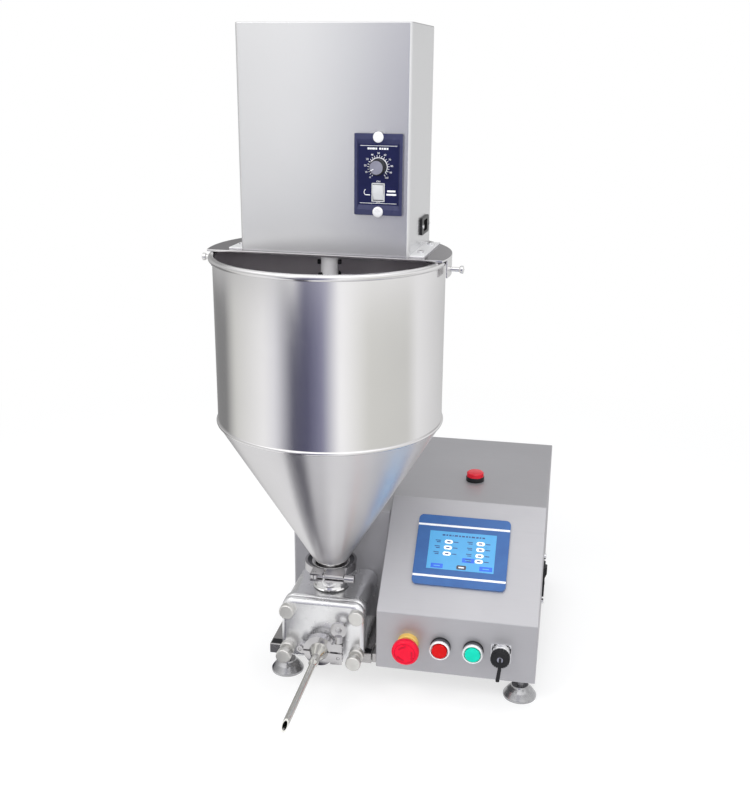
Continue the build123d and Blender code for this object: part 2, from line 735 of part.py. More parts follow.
def rocker_well():
    """Pocket that a rocker swings in, reaching a little out of the panel."""
    width = ROCKER_WIDTH + 2 * GAP
    length = ROCKER_LENGTH + 2 * ROCKER_PLAY
    depth = 2 * ROCKER_DEPTH + ROCKER_LENGTH * math.sin(math.radians(ROCKER_TILT)) / 2
    return Pos(0, 0, -depth / 2 + SHEET / 2) * Box(width, length, depth + SHEET)


def rocker():
    """Rocker at rest, tipped to one side about its pivot."""
    half = ROCKER_LENGTH / 2
    outline = [
        (-half, -ROCKER_DEPTH),
        (half, -ROCKER_DEPTH),
        (half, ROCKER_EDGE),
        (0, ROCKER_CREST),
        (-half, ROCKER_EDGE),
    ]
    lever = Pos(-ROCKER_WIDTH / 2, 0, 0) * extrude(
        Plane.YZ * make_face(Polyline(outline, close=True)), ROCKER_WIDTH
    )
    return Rot(ROCKER_TILT, 0, 0) * lever


def mains_inlet():
    face = CABINET_WIDTH + INLET_FLANGE
    flange = block(
        CABINET_WIDTH,
        face,
        MAINS_Y - MAINS_WIDTH / 2,
        MAINS_Y + MAINS_WIDTH / 2,
        MAINS_Z - MAINS_LENGTH / 2,
        MAINS_Z + MAINS_LENGTH / 2,
    )
    inlet = flange + mains_body(0) - MAINS_ROCKER_PLACE * rocker_well()
    mouth = Plane(
        origin=(face, MAINS_Y, MAINS_Z - MAINS_LENGTH / 4), x_dir=(0, 1, 0), z_dir=(1, 0, 0)
    )
    socket = extrude(RectangleRounded(SOCKET_LENGTH, SOCKET_WIDTH, SOCKET_CORNER), -SOCKET_DEPTH)
    return inlet - mouth * socket


def mains_rocker():
    return MAINS_ROCKER_PLACE * rocker()


def panel_screws():
    """Pan head screws beside the mains inlet."""
    solids = []
    for side in (-1, 1):
        z = MAINS_Z + side * MAINS_SCREW_SPAN / 2
        head = rod_x(MAINS_Y, z, CABINET_WIDTH, CABINET_WIDTH + SCREW_HEIGHT, SCREW_RADIUS)
        solids.append(fillet(head.faces().sort_by(Axis.X)[-1].edges(), SCREW_HEIGHT / 3))
    return group(solids)


# Pump


def pump_outline(base, top, heel):
    """Front view of the pump: large round corners above, and corners of radius heel below."""
    outline = Rectangle(PUMP_WIDTH, top - base)
    outline = fillet(outline.vertices().group_by(Axis.Y)[-1], PUMP_CORNER)
    outline = fillet(outline.vertices().group_by(Axis.Y)[0], heel)
    return Pos(PUMP_X, 0, (base + top) / 2) * (Plane.XZ * outline)


def chamber_outline():
    """Rotor bores with the discharge passage below them, seen from the front."""
    drop = ROTOR_Z - OUTLET_Z
    outline = Pos(-ROTOR_PITCH_RADIUS, 0) * Circle(CHAMBER_RADIUS)
    outline += Pos(ROTOR_PITCH_RADIUS, 0) * Circle(CHAMBER_RADIUS)
    outline += Pos(0, -drop) * Circle(OUTLET_BORE)
    outline += Pos(0, -drop / 2) * Rectangle(2 * OUTLET_BORE, drop)
    return outline


def from_front(outline, front, length):
    """Front view outline about the rotors' middle, carried back from y = front."""
    return Pos(PUMP_X, front + length, ROTOR_Z) * extrude(Plane.XZ * outline, length)


def seal_band(play):
    """Band that follows the chamber's outline, for the seal or its groove."""
    outer = offset(chamber_outline(), amount=GROOVE_INSET + GROOVE_WIDTH - play)
    inner = offset(chamber_outline(), amount=GROOVE_INSET + play)
    return outer - inner


def stud_places():
    """Stud positions in x and z, the upper two first."""
    return [(PUMP_X + side * STUD_SPAN_X / 2, z) for z in (STUD_HIGH, STUD_LOW) for side in (-1, 1)]


def pump_slab(front, back):
    """Slice of the pump block from y = front to y = back."""
    return Pos(0, back, 0) * extrude(pump_outline(PUMP_BASE, PUMP_TOP, PUMP_HEEL), back - front)


def pump_body():
    """Front part of the pump block, with the rotors' chamber through it."""
    body = pump_slab(TRAY_FRONT, CHAMBER_BACK)
    body -= from_front(chamber_outline(), TRAY_FRONT - SHEET, CHAMBER_BACK - TRAY_FRONT + 2 * SHEET)
    body -= rod_z(PUMP_X, HOPPER_Y, ROTOR_Z, PUMP_TOP + SHEET, INLET_BORE)
    body -= from_front(seal_band(0), TRAY_FRONT, GROOVE_DEPTH)
    for x, z in stud_places():
        body -= rod_y(x, z, TRAY_FRONT - SHEET, TRAY_FRONT + STUD_DEPTH + GAP, STUD_RADIUS + FIT)
    return body


def bearing_housing():
    """Rear part of the pump block, which closes the chamber and holds the shafts' bearings."""
    housing = pump_slab(CHAMBER_BACK, PUMP_BACK)
    for x in (DRIVE_X, DRIVEN_X):
        housing -= rod_y(x, ROTOR_Z, CHAMBER_BACK - SHEET, SEAL_FRONT + SHEET, SHAFT_RADIUS + GAP)
        housing -= rod_y(x, ROTOR_Z, SEAL_FRONT, PUMP_BACK + SHEET, BEARING_RADIUS)
    return housing


def inlet_ferrule():
    """Flanged neck welded on the pump's top."""
    neck = turned_z(
        PUMP_X,
        HOPPER_Y,
        [
            (PUMP_TOP, INLET_NECK_RADIUS),
            (INLET_FLANGE_Z - FLANGE_THICK, INLET_NECK_RADIUS),
            (INLET_FLANGE_Z, HOPPER_FLANGE - CLAMP_LIP),
            (INLET_FLANGE_Z, HOPPER_FLANGE),
            (INLET_FLANGE_Z + FLANGE_THICK, HOPPER_FLANGE),
        ],
    )
    return neck - rod_z(PUMP_X, HOPPER_Y, PUMP_TOP - SHEET, INLET_FLANGE_Z + FLANGE_PAIR, INLET_BORE)


def pump_cover():
    base = PUMP_BASE - COVER_DROP
    cover = Pos(0, TRAY_FRONT, 0) * extrude(pump_outline(base, PUMP_TOP, PUMP_CORNER), COVER_THICK)
    cover = fillet(cover.faces().sort_by(Axis.Y)[0].edges(), COVER_EDGE)
    cover += turned_y(
        PUMP_X,
        OUTLET_Z,
        [
            (OUTLET_FLANGE_Y - FLANGE_THICK, OUTLET_FLANGE),
            (OUTLET_FLANGE_Y, OUTLET_FLANGE),
            (OUTLET_FLANGE_Y, OUTLET_NECK_RADIUS),
            (COVER_FRONT + SHEET, OUTLET_NECK_RADIUS),
        ],
    )
    cover -= rod_y(PUMP_X, OUTLET_Z, OUTLET_FLANGE_Y - FLANGE_PAIR, TRAY_FRONT + SHEET, OUTLET_BORE)
    for x in (DRIVE_X, DRIVEN_X):
        cover -= rod_y(x, ROTOR_Z, TRAY_FRONT - STUB_LENGTH, TRAY_FRONT + SHEET, STUB_RADIUS + FIT)
    for x, z in stud_places():
        cover -= rod_y(x, z, COVER_FRONT - SHEET, TRAY_FRONT + SHEET, STUD_RADIUS + GAP)
    return cover


def cover_seal():
    return from_front(seal_band(FIT), TRAY_FRONT, GROOVE_DEPTH)


def stud_end(up):
    """Front end of a stud: inside the nut that it carries."""
    length = SHORT_NUT if up else LONG_NUT
    return COVER_FRONT - length + 2 * NUT_EDGE


def cover_studs():
    solids = []
    for i, (x, z) in enumerate(stud_places()):
        solids.append(rod_y(x, z, stud_end(i < 2), TRAY_FRONT + STUD_DEPTH, STUD_RADIUS))
    return group(solids)


def cover_nut(x, z, length, long):
    """Round cap nut; the long kind has a waist behind its front knob."""
    front = COVER_FRONT - length
    steps = [(front, NUT_RADIUS - NUT_EDGE), (front + NUT_EDGE, NUT_RADIUS)]
    if long:
        knob = SHORT_NUT
        steps += [
            (front + knob - NUT_EDGE, NUT_RADIUS),
            (front + knob, NUT_WAIST),
            (COVER_FRONT - knob, NUT_WAIST),
            (COVER_FRONT - knob + NUT_EDGE, NUT_RADIUS),
        ]
    steps.append((COVER_FRONT, NUT_RADIUS))
    return turned_y(x, z, steps)


def cover_nuts():
    solids = []
    for i, (x, z) in enumerate(stud_places()):
        long = i >= 2
        nut = cover_nut(x, z, LONG_NUT if long else SHORT_NUT, long)
        bore = rod_y(x, z, stud_end(not long) - GAP, COVER_FRONT + SHEET, STUD_RADIUS + FIT)
        solids.append(nut - bore)
    return group(solids)


def tooth_outline(turn):
    """Cycloid teeth, turned by some degrees: crests roll outside the pitch circle, roots inside it."""
    roller = ROTOR_PITCH_RADIUS / (2 * ROTOR_TEETH)
    half_pitch = math.pi / ROTOR_TEETH
    steps = 8
    points = []
    for i in range(2 * ROTOR_TEETH):
        crest = i % 2 == 0
        for k in range(steps):
            a = (i + k / steps) * half_pitch
            if crest:
                ring = ROTOR_PITCH_RADIUS + roller
                spin = math.pi + a * ring / roller
            else:
                ring = ROTOR_PITCH_RADIUS - roller
                spin = -a * ring / roller
            x = ring * math.cos(a) + roller * math.cos(spin)
            y = ring * math.sin(a) + roller * math.sin(spin)
            points.append((x, y))
    outline = offset(make_face(Polyline(points, close=True)), amount=-TOOTH_PLAY)
    return Rot(0, 0, turn) * outline


def rotor(x, turn, shaft_end):
    """Toothed rotor with its front stub and rear shaft in one piece."""
    front = TRAY_FRONT + GAP
    teeth = Pos(x, front + ROTOR_LENGTH, ROTOR_Z) * extrude(Plane.XZ * tooth_outline(turn), ROTOR_LENGTH)
    stub = rod_y(x, ROTOR_Z, TRAY_FRONT - STUB_LENGTH + GAP, front, STUB_RADIUS)
    shaft = rod_y(x, ROTOR_Z, front + ROTOR_LENGTH, shaft_end, SHAFT_RADIUS)
    return teeth + stub + shaft


def drive_rotor():
    return rotor(DRIVE_X, -90 / ROTOR_TEETH, LANTERN_BACK + SHAFT_PLUG)


def driven_rotor():
    return rotor(DRIVEN_X, 180 + 90 / ROTOR_TEETH, BEARING_BACK)


def shaft_ring(x, front, length):
    ring = rod_y(x, ROTOR_Z, front, front + length, BEARING_RADIUS - FIT)
    return ring - rod_y(x, ROTOR_Z, front - SHEET, front + length + SHEET, SHAFT_RADIUS + FIT)


def shaft_seals():
    return group([shaft_ring(x, SEAL_FRONT, SEAL_LENGTH) for x in (DRIVE_X, DRIVEN_X)])


def shaft_bearings():
    front = BEARING_BACK - BEARING_LENGTH
    return group([shaft_ring(x, front, BEARING_LENGTH) for x in (DRIVE_X, DRIVEN_X)])


# Pump drive


def lantern_end():
    """Right end of the lantern's plate, past the driven shaft's bearing."""
    return DRIVEN_X + BEARING_RADIUS + LANTERN_WALL


def drive_lantern():
    """Plate over the bearings with a tube that carries the reducer on a square flange."""
    half = SERVO_FRAME / 2
    plate_back = PUMP_BACK + LANTERN_PLATE
    tube = rod_y(DRIVE_X, ROTOR_Z, PUMP_BACK, LANTERN_BACK, LANTERN_RADIUS)
    tube += block(
        DRIVE_X - LANTERN_RADIUS,
        lantern_end(),
        PUMP_BACK,
        plate_back,
        ROTOR_Z - LANTERN_PLATE_HEIGHT / 2,
        ROTOR_Z + LANTERN_PLATE_HEIGHT / 2,
    )
    tube += block(
        DRIVE_X - half,
        DRIVE_X + half,
        LANTERN_BACK - LANTERN_FLANGE,
        LANTERN_BACK,
        ROTOR_Z - half,
        ROTOR_Z + half,
    )
    hollow = LANTERN_RADIUS - LANTERN_WALL
    tube -= rod_y(DRIVE_X, ROTOR_Z, plate_back, LANTERN_BACK + SHEET, hollow)
    return tube - rod_y(DRIVE_X, ROTOR_Z, PUMP_BACK - SHEET, LANTERN_BACK, SHAFT_RADIUS + GAP)


def square_unit(front, back):
    """Square drive unit with rounded long edges on the drive's axis."""
    half = SERVO_FRAME / 2
    unit = block(DRIVE_X - half, DRIVE_X + half, front, back, ROTOR_Z - half, ROTOR_Z + half)
    return fillet(unit.edges().filter_by(Axis.Y), SERVO_FRAME / 10)


def planetary_reducer():
    unit = square_unit(LANTERN_BACK, REDUCER_BACK)
    plug_end = LANTERN_BACK + SHAFT_PLUG + SERVO_BORE_SPARE
    return unit - rod_y(DRIVE_X, ROTOR_Z, LANTERN_BACK - SHEET, plug_end, SHAFT_RADIUS + FIT)


def servo_motor():
    return square_unit(REDUCER_BACK, REDUCER_BACK + SERVO_LENGTH)


# Clamped joints, drawn about the ring's own middle


def clamp_ring(flange, wall):
    ring = Cylinder(flange + wall, 2 * CLAMP_HALF_WIDTH)
    ring -= Cylinder(flange - CLAMP_LIP, 3 * CLAMP_HALF_WIDTH)
    return ring - Cylinder(flange + GAP, FLANGE_PAIR + 2 * GAP)


def bolt_line(flange, wall):
    return -(flange + wall) * (1 + LUG_SHARE)


def clamp_lug(flange, wall, side, nut_face):
    """Forked lug on one half, which carries the bolt's pivot on the left and meets its nut on the right."""
    line = bolt_line(flange, wall)
    near = side * CLAMP_SPLIT / 2
    far = nut_face if side > 0 else near - LUG_LENGTH
    lug = block(
        min(near, far), max(near, far), line - BOLT_EYE_RADIUS, -flange, -LUG_HEIGHT / 2, LUG_HEIGHT / 2
    )
    return lug - Cylinder(flange + wall / 2, 3 * CLAMP_HALF_WIDTH)


def lug_slot(flange, wall):
    """Slot through both lugs, open to the front."""
    line = bolt_line(flange, wall)
    reach = 2 * (flange + wall)
    half = BOLT_RADIUS + GAP
    return block(-reach, reach, line - 2 * BOLT_EYE_RADIUS, line + BOLT_EYE_RADIUS + GAP, -half, half)


def hinge_ears(flange, wall, side):
    """Ears at the back: two outer ears on the left half, one middle ear on the right."""
    axis_y = flange + wall + HINGE_OUT
    spans = [(-HINGE_EAR, HINGE_EAR)]
    if side < 0:
        spans = [(HINGE_EAR + GAP, CLAMP_HALF_WIDTH), (-CLAMP_HALF_WIDTH, -HINGE_EAR - GAP)]
    ears = None
    near = CLAMP_SPLIT / 2
    for low, high in spans:
        ear = rod_z(0, axis_y, low, high, HINGE_RADIUS)
        x0, x1 = sorted((side * near, side * (near + HINGE_RADIUS)))
        ear += block(x0, x1, flange + wall / 2, axis_y, low, high)
        ears = ear if ears is None else ears + ear
    return ears - rod_z(0, axis_y, -3 * CLAMP_HALF_WIDTH, 3 * CLAMP_HALF_WIDTH, CLAMP_PIN_RADIUS + FIT)


def clamp_half(flange, wall, side, pivot, reach):
    """One half of a clamp with its lug and hinge ears; side -1 holds the bolt's pivot pin."""
    span = 2 * (flange + wall)
    x0, x1 = sorted((side * CLAMP_SPLIT / 2, side * span))
    half = clamp_ring(flange, wall) & block(x0, x1, -span, span, -span, span)
    lug = clamp_lug(flange, wall, side, reach - pivot) - lug_slot(flange, wall)
    line = bolt_line(flange, wall)
    if side > 0:
        lug &= rod_z(-pivot, line, -span, span, reach - GAP)
    else:
        lug -= rod_z(-pivot, line, -span, span, CLAMP_PIN_RADIUS + FIT)
    return half + lug + hinge_ears(flange, wall, side)


def clamp_pin_pair(flange, wall, pivot):
    hinge = rod_z(0, flange + wall + HINGE_OUT, -CLAMP_HALF_WIDTH, CLAMP_HALF_WIDTH, CLAMP_PIN_RADIUS)
    pivot_pin = rod_z(-pivot, bolt_line(flange, wall), -LUG_HEIGHT / 2, LUG_HEIGHT / 2, CLAMP_PIN_RADIUS)
    return [hinge, pivot_pin]


def swing_bolt(flange, wall, pivot, reach, nut_grip):
    """Eye bolt that swings about the pivot pin."""
    line = bolt_line(flange, wall)
    eye = rod_z(-pivot, line, -BOLT_RADIUS, BOLT_RADIUS, BOLT_EYE_RADIUS)
    shank = rod_x(line, 0, -pivot + BOLT_EYE_RADIUS / 2, -pivot + reach + nut_grip, BOLT_RADIUS)
    hole = rod_z(-pivot, line, -2 * BOLT_EYE_RADIUS, 2 * BOLT_EYE_RADIUS, CLAMP_PIN_RADIUS + FIT)
    return eye + shank - hole


def hopper_clamp_half(side):
    half = clamp_half(HOPPER_FLANGE, HOPPER_CLAMP_WALL, side, HOPPER_PIVOT, HOPPER_BOLT_REACH)
    return HOPPER_CLAMP_PLACE * half


def outlet_clamp_half(side):
    half = clamp_half(OUTLET_FLANGE, OUTLET_CLAMP_WALL, side, OUTLET_PIVOT, OUTLET_BOLT_REACH)
    return OUTLET_CLAMP_PLACE * half


def clamp_pins():
    hopper_pins = clamp_pin_pair(HOPPER_FLANGE, HOPPER_CLAMP_WALL, HOPPER_PIVOT)
    outlet_pins = clamp_pin_pair(OUTLET_FLANGE, OUTLET_CLAMP_WALL, OUTLET_PIVOT)
    pins = [HOPPER_CLAMP_PLACE * pin for pin in hopper_pins]
    return group(pins + [OUTLET_CLAMP_PLACE * pin for pin in outlet_pins])


def hopper_clamp_bolt():
    grip = HOPPER_NUT_LENGTH - SHEET
    bolt = swing_bolt(HOPPER_FLANGE, HOPPER_CLAMP_WALL, HOPPER_PIVOT, HOPPER_BOLT_REACH, grip)
    return HOPPER_CLAMP_PLACE * bolt


def hopper_clamp_nut():
    line = bolt_line(HOPPER_FLANGE, HOPPER_CLAMP_WALL)
    start = -HOPPER_PIVOT + HOPPER_BOLT_REACH
    nut = rod_x(line, 0, start, start + HOPPER_NUT_LENGTH, HOPPER_NUT_RADIUS)
    nut = fillet(nut.faces().sort_by(Axis.X)[-1].edges(), NUT_EDGE)
    bore = rod_x(line, 0, start - SHEET, start + HOPPER_NUT_LENGTH - SHEET / 2, BOLT_RADIUS + FIT)
    return HOPPER_CLAMP_PLACE * (nut - bore)


def outlet_clamp_bolt():
    grip = WING_HUB_LENGTH - SHEET
    bolt = swing_bolt(OUTLET_FLANGE, OUTLET_CLAMP_WALL, OUTLET_PIVOT, OUTLET_BOLT_REACH, grip)
    return OUTLET_CLAMP_PLACE * bolt


def outlet_wing_nut():
    line = bolt_line(OUTLET_FLANGE, OUTLET_CLAMP_WALL)
    start = -OUTLET_PIVOT + OUTLET_BOLT_REACH
    hub_end = start + WING_HUB_LENGTH
    hub = rod_x(line, 0, start, hub_end, WING_HUB_RADIUS)
    ring = RectangleRounded(WING_HEIGHT, WING_WIDTH, WING_CORNER)
    ring -= Circle(WING_CORNER - WING_THICK)
    wing = Pos(hub_end + WING_HEIGHT / 2 - SHEET, line, -WING_THICK / 2) * extrude(ring, WING_THICK)
    bore = rod_x(line, 0, start - SHEET, hub_end - SHEET / 2, BOLT_RADIUS + FIT)
    return OUTLET_CLAMP_PLACE * (hub + wing - bore)


def clamp_gaskets():
    low = INLET_FLANGE_Z + FLANGE_THICK
    hopper_ring = rod_z(HOPPER_X, HOPPER_Y, low, low + GASKET_THICK, HOPPER_FLANGE)
    hopper_ring -= rod_z(HOPPER_X, HOPPER_Y, low - SHEET, low + 2 * GASKET_THICK, INLET_BORE)
    back = OUTLET_FLANGE_Y - FLANGE_THICK
    outlet_ring = rod_y(PUMP_X, OUTLET_Z, back - GASKET_THICK, back, OUTLET_FLANGE)
    outlet_ring -= rod_y(PUMP_X, OUTLET_Z, back - 2 * GASKET_THICK, back + SHEET, OUTLET_BORE)
    return group([hopper_ring, outlet_ring])


def filling_nozzle():
    """Flange, tapered hub and long needle with an oblique tip."""
    face = NOZZLE_Y - FLANGE_THICK
    base_start = face - NOZZLE_CONE
    needle_start = base_start - NOZZLE_BASE
    outer = turned_y(
        PUMP_X,
        OUTLET_Z,
        [
            (TIP_Y, NEEDLE_RADIUS),
            (needle_start - NOZZLE_STEP, NEEDLE_RADIUS),
            (needle_start, NOZZLE_BASE_RADIUS),
            (base_start, NOZZLE_BASE_RADIUS),
            (face, OUTLET_NECK_RADIUS),
            (face, OUTLET_FLANGE),
            (NOZZLE_Y, OUTLET_FLANGE),
        ],
    )
    wall = NEEDLE_RADIUS - NEEDLE_BORE
    bore = turned_y(
        PUMP_X,
        OUTLET_Z,
        [
            (TIP_Y - SHEET, NEEDLE_BORE),
            (needle_start - NOZZLE_STEP, NEEDLE_BORE),
            (needle_start, NOZZLE_BASE_RADIUS - wall),
            (base_start, NOZZLE_BASE_RADIUS - wall),
            (face, OUTLET_BORE),
            (NOZZLE_Y + SHEET, OUTLET_BORE),
        ],
    )
    span = 4 * NEEDLE_RADIUS
    cut = Pos(PUMP_X, TIP_Y, OUTLET_Z - NEEDLE_RADIUS) * Rot(-TIP_ANGLE, 0, 0) * Pos(0, -span / 2, 0)
    return outer - bore - cut * Box(span, span, 4 * span)


# Hopper


def hopper_wall(inset, top):
    """Half section of the hopper's wall surface, moved in by inset."""
    return [
        (HOPPER_BASE - inset, HOPPER_NECK_RADIUS - inset),
        (CONE_BASE - NECK_FLARE, HOPPER_NECK_RADIUS - inset),
        (CONE_BASE, CONE_MOUTH_RADIUS - inset),
        (SEAM_Z, HOPPER_RADIUS - inset),
        (top, HOPPER_RADIUS - inset),
    ]


def welded_hopper():
    """The whole hopper wall with its flange and beads."""
    outer = turned_z(HOPPER_X, HOPPER_Y, hopper_wall(0, RIM_Z))
    outer += rod_z(HOPPER_X, HOPPER_Y, HOPPER_BASE, HOPPER_BASE + FLANGE_THICK, HOPPER_FLANGE)
    outer += Pos(HOPPER_X, HOPPER_Y, SEAM_Z) * Torus(HOPPER_RADIUS - SEAM_BEAD / 4, SEAM_BEAD)
    shell = outer - turned_z(HOPPER_X, HOPPER_Y, hopper_wall(SHEET, RIM_Z + 2 * RIM_BEAD))
    return shell + Pos(HOPPER_X, HOPPER_Y, RIM_Z) * Torus(BEAD_CENTRE, RIM_BEAD)


def hopper_slice(low, high):
    """Part of the hopper between two levels, where its welded sheets meet."""
    reach = 2 * HOPPER_RADIUS
    cut = block(HOPPER_X - reach, HOPPER_X + reach, HOPPER_Y - reach, HOPPER_Y + reach, low, high)
    return welded_hopper() & cut


def hopper():
    return hopper_slice(SEAM_WELD, RIM_Z + 2 * RIM_BEAD)


def hopper_cone():
    return hopper_slice(CONE_BASE - NECK_FLARE, SEAM_WELD)


def clamp_ferrules():
    """Flanged necks that the hopper clamp joins: the pump's and the hopper's."""
    return group([inlet_ferrule(), hopper_slice(HOPPER_BASE - SHEET, CONE_BASE - NECK_FLARE)])


# Lid, motor box and mixer, drawn about the hopper's axis


def half_lid():
    span = 2 * LID_RADIUS
    keep = block(-span, span, -LID_EDGE, span, -span, span)
    plate = rod_z(0, 0, LID_BASE, LID_TOP, LID_RADIUS) & (Pos(0, 0, LID_TOP) * keep)
    plate -= rod_z(0, 0, LID_BASE - SHEET, LID_TOP + SHEET, LID_SHAFT_HOLE)
    skirt = rod_z(0, 0, LID_BASE - TAB_DROP, LID_BASE, LID_RADIUS)
    skirt -= rod_z(0, 0, LID_BASE - 2 * TAB_DROP, LID_TOP, TAB_INNER)
    skirt &= block(-span, span, -TAB_WIDTH / 2, TAB_WIDTH / 2, LID_BASE - 2 * TAB_DROP, LID_BASE)
    skirt -= rod_x(0, THUMB_Z, -span, span, THUMB_RADIUS + FIT)
    return plate + skirt


def thumb_screw(side):
    """Screw through the lid's tab, with a flared head."""
    end = THUMB_TIP + THUMB_LENGTH
    points = [
        (THUMB_TIP, 0),
        (THUMB_TIP, THUMB_RADIUS),
        (end - THUMB_HEAD, THUMB_RADIUS),
        (end - THUMB_HEAD / 3, THUMB_HEAD_RADIUS),
        (end, THUMB_HEAD_RADIUS),
        (end, 0),
    ]
    screw = revolve(make_face(Polyline(points, close=True)), Axis.X)
    turn = 0 if side > 0 else 180
    return Pos(0, 0, THUMB_Z) * Rot(0, 0, turn) * screw


def motor_box():
    half = BOX_WIDTH / 2
    back = BOX_DEPTH - BOX_FRONT
    outer = block(-half, half, -BOX_FRONT, back, BOX_BASE, BOX_TOP)
    outer = fillet(outer.edges().filter_by(Axis.Z), BOX_BEND)
    outer = fillet(outer.faces().sort_by(Axis.Z)[-1].edges(), BEND)
    hollow = block(
        -half + SHEET, half - SHEET, -BOX_FRONT + SHEET, back - SHEET, BOX_BASE - SHEET, BOX_TOP - SHEET
    )
    hollow = fillet(hollow.edges().filter_by(Axis.Z), BOX_BEND - SHEET)
    return outer - hollow - controller_body(LOOSE) - mixer_inlet_body(LOOSE)


def bracket():
    """Angle along one side: a flange on the lid under the box's wall, and an upright inside the box."""
    wall = BOX_WIDTH / 2 - SHEET
    front = -BOX_FRONT + SHEET + BRACKET_START
    back = front + BRACKET_LENGTH
    flange = block(wall - BRACKET_IN, BOX_WIDTH / 2 + BRACKET_OUT, front, back, LID_TOP, BOX_BASE)
    upright = block(wall - BRACKET_THICK, wall, front, back, BOX_BASE, BOX_BASE + BRACKET_RISE)
    return flange + upright


def box_brackets():
    return mirrored_pair(bracket())


def bracket_screws():
    solids = []
    middle = -BOX_FRONT + SHEET + BRACKET_START + BRACKET_LENGTH / 2
    for side in (-1, 1):
        for end in (-1, 1):
            x = side * (BOX_WIDTH / 2 + BRACKET_OUT / 2)
            head = rod_z(x, middle + end * SCREW_SPAN / 2, BOX_BASE, BOX_BASE + SCREW_HEIGHT, SCREW_RADIUS)
            solids.append(fillet(head.faces().sort_by(Axis.Z)[-1].edges(), SCREW_HEIGHT / 3))
    return group(solids)


def mixer_gear_motor():
    """Gear head with an offset output bore, standing on the lid, and the round motor on it."""
    half = GEARHEAD_FRAME / 2
    top = LID_TOP + GEARHEAD_LENGTH
    head = block(-half, half, GEARHEAD_OFFSET - half, GEARHEAD_OFFSET + half, LID_TOP, top)
    head = fillet(head.edges().filter_by(Axis.Z), GEARHEAD_FRAME / 10)
    motor = rod_z(0, GEARHEAD_OFFSET, top, top + MIXER_MOTOR_LENGTH, MIXER_MOTOR_RADIUS)
    return head + motor - rod_z(0, 0, LID_TOP - SHEET, LID_TOP + OUTPUT_DEPTH + GAP, OUTPUT_RADIUS + FIT)


def mixer_output_shaft():
    return rod_z(0, 0, SHAFT_JOIN, LID_TOP + OUTPUT_DEPTH, OUTPUT_RADIUS)


def stirrer_coupling():
    sleeve = rod_z(0, 0, COUPLING_BASE, COUPLING_TOP, COUPLING_RADIUS)
    sleeve -= rod_z(0, 0, SHAFT_JOIN, COUPLING_TOP + SHEET, OUTPUT_RADIUS + FIT)
    return sleeve - rod_z(0, 0, COUPLING_BASE - SHEET, SHAFT_JOIN, STIRRER_RADIUS + FIT)


def stirrer():
    """Shaft with three pairs of pitched paddles."""
    shaft = rod_z(0, 0, STIRRER_BASE, SHAFT_JOIN, STIRRER_RADIUS)
    for reach, rise in zip(PADDLE_REACH, PADDLE_RISE):
        length = reach - STIRRER_RADIUS / 2
        for side in (-1, 1):
            blade = Rot(side * PADDLE_TILT, 0, 0) * Box(length, PADDLE_THICK, PADDLE_HEIGHT)
            shaft += Pos(side * (STIRRER_RADIUS / 2 + length / 2), 0, CONE_BASE + rise) * blade
    return shaft


def controller_body(grow):
    """Body of the speed controller inside the motor box, or its cut-out when grown."""
    half_x = CONTROLLER_BODY_WIDTH / 2 + grow
    half_z = CONTROLLER_BODY_HEIGHT / 2 + grow
    return block(
        CONTROLLER_X - half_x,
        CONTROLLER_X + half_x,
        -BOX_FRONT,
        -BOX_FRONT + CONTROLLER_BODY_DEPTH,
        CONTROLLER_Z - half_z,
        CONTROLLER_Z + half_z,
    )


def speed_controller():
    """Framed face plate with a sunk field, bored for the knob and the rocker."""
    front = -BOX_FRONT - CONTROLLER_THICK
    plate = block(
        CONTROLLER_X - CONTROLLER_WIDTH / 2,
        CONTROLLER_X + CONTROLLER_WIDTH / 2,
        front,
        -BOX_FRONT,
        CONTROLLER_Z - CONTROLLER_HEIGHT / 2,
        CONTROLLER_Z + CONTROLLER_HEIGHT / 2,
    )
    plate = fillet(plate.edges().filter_by(Axis.Y), SHEET)
    half_x = CONTROLLER_WIDTH / 2 - CONTROLLER_RIM
    half_z = CONTROLLER_HEIGHT / 2 - 2 * CONTROLLER_RIM
    field = block(
        CONTROLLER_X - half_x,
        CONTROLLER_X + half_x,
        front - SHEET,
        -CONTROLLER_FACE,
        CONTROLLER_Z - half_z,
        CONTROLLER_Z + half_z,
    )
    body = plate - field + controller_body(0)
    shaft_end = -CONTROLLER_FACE + KNOB_SHAFT_LENGTH + GAP
    body -= rod_y(CONTROLLER_X, KNOB_Z, front, shaft_end, KNOB_SHAFT_RADIUS + FIT)
    return body - MIXER_ROCKER_PLACE * rocker_well()


def speed_knob():
    """Skirted knob with a pointer notch on its front."""
    back = -CONTROLLER_FACE - GAP
    front = back - KNOB_LENGTH
    knob = turned_y(
        CONTROLLER_X,
        KNOB_Z,
        [
            (front, KNOB_GRIP_RADIUS - KNOB_NOTCH),
            (front + KNOB_NOTCH, KNOB_GRIP_RADIUS),
            (back - KNOB_SKIRT, KNOB_GRIP_RADIUS),
            (back - KNOB_SKIRT + KNOB_NOTCH, KNOB_RADIUS),
            (back, KNOB_RADIUS),
            (back, KNOB_SHAFT_RADIUS),
            (-CONTROLLER_FACE + KNOB_SHAFT_LENGTH, KNOB_SHAFT_RADIUS),
        ],
    )
    notch = block(
        CONTROLLER_X - KNOB_NOTCH / 2,
        CONTROLLER_X + KNOB_NOTCH / 2,
        front - KNOB_NOTCH,
        front + KNOB_NOTCH / 2,
        KNOB_Z,
        KNOB_Z + KNOB_RADIUS,
    )
    return knob - notch


def mixer_rocker():
    return MIXER_ROCKER_PLACE * rocker()


